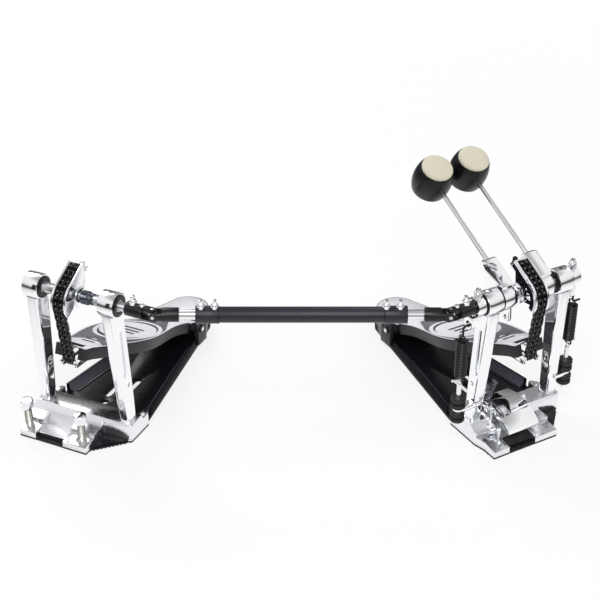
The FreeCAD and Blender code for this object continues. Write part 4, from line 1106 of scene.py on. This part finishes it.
@dataclass
class BaseTrim(Dress):
    """A base's trim: ribs and slants by its lips, the bed's foot and sole, rubber teeth and cheek screws."""

    plate_top: float = 4.0
    rib_start: Pair = (43.6, 50.0)
    rib_end: Pair = (23.6, 182.0)
    rib_size: Pair = (4.0, 1.6)
    rib_lift: float = 0.3
    rib_edge: float = 0.6
    teeth: tuple[tuple[Pair, Pair], ...] = (((-56.6, -34.0), (-56.6, -6.0)), ((25.6, -37.0), (55.6, -7.0)))
    tooth_step: float = 4.2
    tooth_size: Triple = (2.2, 2.4, 1.7)
    tooth_edge: float = 0.25
    slant_start: Pair = (53.5, 48.0)
    slant_end: Pair = (33.4, 178.0)
    slant_size: Pair = (7.4, 9.3)
    slant_foot: float = 0.6
    slant_sunk: float = 0.2
    under_facing: float = 0.99
    near_mm: float = 0.1
    foot_heights: Triple = (0.05, 2.4, 3.99)
    sole_front: Triple = (-19.5, -40.45, 1.2)
    sole_size: Triple = (35.4, 6.0, 2.3)
    sole_edge: float = 0.2
    cheek_at: Triple = (55.6, 29.0, 16.0)
    cheek_screw: Section = (
        (0, -0.3), (2.9, -0.3), (2.9, 0.9), (2.4, 1.4), (1.5, 1.4), (1.3, 0.5), (0, 0.5),
    )
    cheek_steps: int = 24

    def build(self) -> None:
        """Put the trim on the base."""
        self.ribs()
        self.edge_teeth()
        self.lip_slants()
        floor, joint_line, plate = self.foot_heights
        self.bed_layer("bed_foot", SATIN_CHROME, "chrome", joint_line, plate)
        self.bed_layer("bed_sole", RUBBER, "rubber", floor, joint_line)
        front = Draft()
        seat = along(UP, self.point(*self.sole_front), self.way(1, 0, 0))
        front.block(seat, self.sole_size, self.sole_edge)
        front.piece(self.named("sole_front"), RUBBER, self.named("frame"), "rubber")
        screws = Draft()
        x, y, z = self.cheek_at
        for side in BOTH_SIDES:
            screws.lathe(along(UP, self.point(side * x, y, z)), self.cheek_screw, self.cheek_steps)
        screws.piece(self.named("cheek_screws"), CHROME_BAR, self.named("frame"), "chrome")

    def edges(self, start: Pair, end: Pair, height: float) -> Iterator[tuple[int, Matrix, float]]:
        """Go along the base's two long edges.

        Args:
            start: where the right edge starts.
            end: where it ends.
            height: over the floor.

        Yields:
            The side, a frame halfway along with its X axis along the edge, and the edge's length.
        """
        for side in BOTH_SIDES:
            first, last = (self.point(side * x, y, height) for x, y in (start, end))
            yield side, along(UP, (first + last) / 2, last - first), (last - first).length / MM

    def ribs(self) -> None:
        """Add the pressed ribs beside the lips."""
        draft = Draft()
        for _, place, length in self.edges(self.rib_start, self.rib_end, self.plate_top + self.rib_lift):
            draft.block(place, (length, *self.rib_size), self.rib_edge)
        draft.piece(self.named("base_ribs"), POWDER, self.named("frame"), "black_plate")

    def edge_teeth(self) -> None:
        """Add the rubber's teeth along two of its edges."""
        draft = Draft()
        half = self.tooth_size[2] / 2
        for row in self.teeth:
            start, end = (self.point(x, y, half) for x, y in row)
            count = int((end - start).length / MM / self.tooth_step)
            for k in range(count):
                place = along(UP, start.lerp(end, (k + 0.5) / count), end - start)
                draft.block(place, self.tooth_size, self.tooth_edge)
        draft.piece(self.named("edge_teeth"), RUBBER, self.named("frame"), "rubber")

    def lip_slants(self) -> None:
        """Lay a slanted flank along the inside of each folded lip, in a paler finish that paints a sheen on it."""
        draft = Draft()
        wide, tall = self.slant_size
        foot = self.plate_top - self.slant_sunk
        for side, place, length in self.edges(self.slant_start, self.slant_end, foot):
            middle = place @ shift(0, side * wide / 2, tall / 2)
            verts = draft.box(middle, (length, wide, tall))
            back = middle.inverted()
            inner = [v for v in verts if (back @ v.co).y * side > 0 and (back @ v.co).z > 0]
            draft.move(shift(0, 0, self.slant_foot - tall), inner)
        # the slants' pale blue-grey finish is a painted sheen
        draft.piece(self.named("lip_slants"), PAINTED_SHEEN_POWDER, self.named("frame"), "black_plate")

    def bed_layer(self, end: str, finish: Finish, slot: str, low: float, high: float) -> None:
        """Carry the outline of the bed's underside down as a layer between two heights.

        Args:
            end: the end of the piece's name.
            finish: its material.
            slot: its slot.
            low: its lower face's height in millimetres.
            high: its upper face's.
        """
        draft = Draft.copy_of(self.named("bed"))
        ceiling = (self.plate_top + self.near_mm) * MM
        draft.keep(lambda f: f.normal.z <= -self.under_facing and f.calc_center_median().z <= ceiling)
        draft.move(shift(0, 0, low - self.plate_top))
        risen = bmesh.ops.extrude_face_region(draft.mesh, geom=draft.mesh.faces[:])["geom"]
        draft.move(shift(0, 0, high - low), [v for v in risen if isinstance(v, BMVert)])
        draft.piece(self.named(end), finish, self.named("frame"), slot)


@dataclass
class RingGrubs(Dress):
    """The dark grub screws on top of a unit's bearing rings."""

    post_x: float = 46.0
    seat_up: float = 13.5
    grub: Section = ((0, 0), (1.9, 0), (1.9, 0.62), (1.0, 0.7), (0.9, 0.3), (0, 0.3))
    steps: int = 18

    def build(self) -> None:
        """Put a grub on each ring."""
        draft = Draft()
        for side in BOTH_SIDES:
            seat = self.point(side * self.post_x, 0, self.axle.z / MM + self.seat_up)
            draft.lathe(along(UP, seat), self.grub, self.steps)
        draft.piece(self.named("ring_grubs"), SHADOW, self.named("frame"), "black_metal")


@dataclass
class MainFittings(Dress):
    """Small fittings of the main unit: rocker and bracket bolts, the hoop's pad and the wing screw's cap."""

    owner: Owner = Owner.MAIN
    rocker_mid: float = 61.75
    rocker_bolt: KeyBolt = KeyBolt(4.2, 5.0, 5.4)
    rocker_turn: Triple = (1.0, 0.6, 0.0)
    bracket: Triple = (-40.6, -17.5, 16.6)
    bracket_bolt: KeyBolt = KeyBolt(3.6, 4.4, 6.0, (4.6, 1.4), 0.2)
    pad_middle: Triple = (-19.5, -31.6, 7.8)
    pad_slope: Triple = (0.0, -10.0, 24.0)
    pad_size: Triple = (33.8, 10.4, 1.6)
    pad_edge: float = 0.4
    cap_down: float = 6.8
    cap: Section = ((0, 0), (3.3, 0), (3.3, 5.4), (2.4, 6.6), (0, 6.6))
    cap_steps: int = 28

    def build(self) -> None:
        """Put the fittings in place."""
        for side, name in ((1, "main"), (-1, "second")):
            draft = Draft()
            seat = self.point(side * self.rocker_mid, 0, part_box(name + "_rocker")[1].z / MM)
            self.rocker_bolt.stand(draft, UP, seat, self.way(*self.rocker_turn))
            draft.piece(name + "_rocker_bolt", CHROME_BAR, name + "_axle", "chrome")
        draft = Draft()
        self.bracket_bolt.stand(draft, self.way(-1, 0, 0), self.point(*self.bracket), UP)
        draft.piece("bracket_key_bolt", SATIN_CHROME, self.named("frame"), "chrome")
        draft = Draft()
        seat = along(self.way(*self.pad_slope), self.point(*self.pad_middle), self.way(1, 0, 0))
        draft.block(seat, self.pad_size, self.pad_edge)
        draft.piece("hoop_rest_pad", RUBBER, self.named("frame"), "rubber")
        self.wing_cap()

    def wing_cap(self) -> None:
        """Put the black cap between the wings."""
        low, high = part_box("clamp_screw")
        middle = (low + high) / 2
        draft = Draft()
        foot = Vector((middle.x, middle.y, high.z - self.cap_down * MM))
        draft.lathe(along(UP, foot), self.cap, self.cap_steps)
        draft.piece("wing_screw_cap", NYLON, "clamp_screw", "black_metal")


@dataclass
class SlaveFittings(Dress):
    """Small fittings of the slave unit: the spurs' threads and the dark collar beside the cam."""

    owner: Owner = Owner.SLAVE
    bed_mm: float = 11.4
    head_mm: float = 31.8
    crest_r: float = 4.5
    root_r: float = 3.8
    pitch: float = 1.75
    thread_steps: int = 20
    collar_x: float = 11.5
    collar: Section = (
        (5.4, 0), (6.8, 0), (7.4, 0.6), (7.4, 7.975), (6.2, 8.99), (6.2, 14.0), (5.7, 14.5), (5.4, 14.5),
    )
    collar_steps: int = 48

    def build(self) -> None:
        """Put the fittings in place."""
        for side in ("left", "right"):
            name = self.named(side + "_spur")
            low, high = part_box(name)
            middle = (low + high) / 2
            draft = Draft()
            foot = Vector((middle.x, middle.y, self.bed_mm * MM))
            draft.lathe(along(UP, foot), self.thread(), self.thread_steps)
            draft.piece(name + "_thread", ZINC, name, "steel")
        draft = Draft()
        seat = self.point(self.collar_x, 0, self.axle.z / MM)
        draft.lathe(along(self.way(1, 0, 0), seat), self.collar, self.collar_steps)
        draft.piece("slave_axle_collar", GUNMETAL, self.named("axle"), "black_metal")

    def thread(self) -> list[Pair]:
        """Draw a threaded stem's section, with its crests as close rings.

        Returns:
            Its radius and height at each point.
        """
        turns = int((self.head_mm - self.bed_mm) / self.pitch)
        section = [(0.0, 0.0), (self.root_r, 0.0)]
        for k in range(turns):
            section += [(self.crest_r, (k + 0.5) * self.pitch), (self.root_r, (k + 1) * self.pitch)]
        return [*section, (0.0, turns * self.pitch)]


@dataclass(frozen=True)
class SoftBox:
    """A square soft light, which chrome may mirror or not."""

    name: str
    at: Triple
    size: float
    power: float
    mirrored: bool = True


@dataclass
class Studio:
    """The camera, the pale floor, the soft lights, the black cards and the room."""

    eye: Triple = (-0.8102, -0.9341, 0.8865)
    heading_deg: float = 30.0
    pitch_deg: float = 31.06
    lens_mm: float = 81.1
    sensor_mm: float = 36.0
    shift_up: float = 0.0048
    aim: Triple = (-0.15, 0.1, 0.1)
    boxes: tuple[SoftBox, ...] = (
        SoftBox("key", (-1.3, -1.2, 1.9), 1.2, 26.0),
        SoftBox("fill", (1.6, -1.0, 1.5), 1.0, 12.0, False),
        SoftBox("back", (-0.3, 1.9, 1.6), 1.2, 18.0),
    )
    card_colour: str = "#0C0C0D"
    card_aim: Triple = (-0.15, 0.1, 0.15)
    cards: tuple[tuple[str, Triple, Pair], ...] = (
        ("card_left", (-1.9, -0.2, 0.5), (1.1, 0.35)),
        ("card_right", (1.7, 0.5, 0.5), (1.1, 0.35)),
        ("card_front", (0.2, -2.2, 0.35), (0.7, 0.3)),
    )
    floor_colour: str = "#F4F4F4"
    floor_half: float = 6.0
    floor_z: float = -0.0002
    middle: Triple = (-0.2, 0.05, 0.0)
    fade_reach: Pair = (0.4, 1.5)
    white_share: Pair = (0.74, 1.0)
    mirror_level: Pair = (1.1, 0.1)
    room_level: Pair = (0.55, 1.0)
    sky: Section = ((0.0, 0.1), (0.06, 0.12), (0.15, 0.5), (0.3, 0.9), (0.52, 1.0), (0.78, 1.0), (0.95, 0.5))
    behind: Triple = (0.4286, 0.7423, 0.515)
    behind_reach: Pair = (0.78, 0.95)
    behind_level: Pair = (1.0, 0.35)

    def build(self) -> None:
        """Set the stage."""
        self.camera()
        self.floor()
        self.lights()
        self.flags()
        self.world()
        bpy.context.scene.view_settings.view_transform = "Standard"

    def camera(self) -> None:
        """Stand the camera where the photograph was taken."""
        data = bpy.data.cameras.new("camera")
        data.lens = self.lens_mm
        data.sensor_width = self.sensor_mm
        data.shift_y = self.shift_up
        camera = set_out("camera", data)
        turn = Matrix.Rotation(math.radians(-self.heading_deg), 4, "Z")
        tip = Matrix.Rotation(math.radians(90 - self.pitch_deg), 4, "X")
        camera.matrix_world = Matrix.Translation(self.eye) @ turn @ tip
        bpy.context.scene.camera = camera

    def sheet(self, name: str, half: float, place: Matrix, material: Material) -> Object:
        """Lay or stand a flat sheet on the stage.

        Args:
            name: its name.
            half: half its width before it is placed.
            place: its frame.
            material: its material.

        Returns:
            The sheet.
        """
        draft = Draft()
        bmesh.ops.create_grid(draft.mesh, x_segments=1, y_segments=1, size=half, matrix=place)
        data = draft.data(name)
        data.materials.append(material)
        sheet = set_out(name, data)
        return sheet

    def floor(self) -> None:
        """Lay a pale floor that takes a soft shadow, fades to white for the eye and dims for mirrors."""
        made = bpy.data.materials.new("pale_paper_floor")
        made.use_nodes = True
        tree = made.node_tree
        tree.nodes.clear()
        path = add_node(tree, "LightPath").outputs
        place = add_node(tree, "TexCoord")
        reach = add_node(tree, "VectorMath", {
            0: place.outputs["Object"], 1: self.middle,
        }, operation="DISTANCE").outputs["Value"]
        white = remap(tree, reach, self.fade_reach, self.white_share)
        share = add_node(tree, "Math", {0: path["Is Camera Ray"], 1: white}, operation="MULTIPLY")
        paper = add_node(tree, "BsdfDiffuse", {"Color": linear(self.floor_colour)})
        glow = add_node(tree, "Emission", {"Color": WHITE, "Strength": 1.0})
        seen = add_node(tree, "MixShader", {0: share.outputs[0], 1: paper.outputs[0], 2: glow.outputs[0]})
        fade = remap(tree, reach, self.fade_reach, self.mirror_level)
        mirror = add_node(tree, "Emission", {"Color": WHITE, "Strength": fade})
        mix = add_node(tree, "MixShader", {
            0: path["Is Glossy Ray"], 1: seen.outputs[0], 2: mirror.outputs[0],
        })
        add_node(tree, "OutputMaterial", {"Surface": mix.outputs[0]})
        self.sheet("floor", self.floor_half, Matrix.Identity(4), made).location.z = self.floor_z

    def lights(self) -> None:
        """Hang soft boxes at the left, at the right and behind."""
        for box in self.boxes:
            data = bpy.data.lights.new(box.name, "AREA")
            data.size = box.size
            data.energy = box.power
            lamp = set_out(box.name, data)
            lamp.matrix_world = along(Vector(box.at) - Vector(self.aim), Vector(box.at))
            lamp.visible_glossy = box.mirrored

    def flags(self) -> None:
        """Stand black cards out of frame, so that chrome has dark edges."""
        made = bpy.data.materials.new("black_card")
        made.use_nodes = True
        black = {"Base Color": linear(self.card_colour), "Roughness": 1.0}
        feed(made.node_tree.nodes["Principled BSDF"], black)
        for name, at, size in self.cards:
            place = along(Vector(self.card_aim) - Vector(at), Vector(at), UP)
            card = self.sheet(name, 0.5, place @ Matrix.Diagonal((*size, 1, 1)), made)
            card.visible_camera = False
            card.visible_diffuse = False
            card.visible_shadow = False

    def world(self) -> None:
        """Fill the room with even light, a white backdrop and, for mirrors, a dim horizon and back."""
        world = bpy.data.worlds.new("room")
        bpy.context.scene.world = world
        world.use_nodes = True
        tree = world.node_tree
        tree.nodes.clear()
        path = add_node(tree, "LightPath").outputs
        way = add_node(tree, "TexCoord").outputs["Generated"]
        height = add_node(tree, "SeparateXYZ", {0: way})
        ramp = add_node(tree, "ValToRGB", {"Fac": height.outputs["Z"]})
        stops = ramp.color_ramp.elements
        while len(stops) < len(self.sky):
            stops.new(0.5)
        for stop, (at, level) in zip(stops, self.sky):
            stop.position = at
            stop.color = (level, level, level, 1)
        even = remap(tree, path["Is Camera Ray"], (0.0, 1.0), self.room_level)
        plain = add_node(tree, "Background", {"Color": WHITE, "Strength": even})
        facing = add_node(tree, "VectorMath", {0: way, 1: self.behind}, operation="DOT_PRODUCT")
        shade_back = remap(tree, facing.outputs["Value"], self.behind_reach, self.behind_level, "SMOOTHSTEP")
        banded = add_node(tree, "Background", {"Color": ramp.outputs["Color"], "Strength": shade_back})
        mix = add_node(tree, "MixShader", {
            0: path["Is Glossy Ray"], 1: plain.outputs[0], 2: banded.outputs[0],
        })
        add_node(tree, "OutputWorld", {"Surface": mix.outputs[0]})


def main() -> None:
    """Build and dress the pedal."""
    logging.basicConfig(level=logging.INFO, format="%(name)s %(message)s")
    Studio().build()
    Solids().dress()
    DriveShaft().build()
    for unit in (Owner.MAIN, Owner.SLAVE):
        for dress in (ChainCam, RollerChain, BoardTop, HeelTop, BaseTrim, RingGrubs):
            dress(unit).build()
    for side in (Owner.MAIN, Owner.SECOND):
        for dress in (BeaterPad, ReturnSpring, TensionKnob):
            dress(side).build()
    MainFittings().build()
    SlaveFittings().build()


if __name__ == "__main__":
    main()
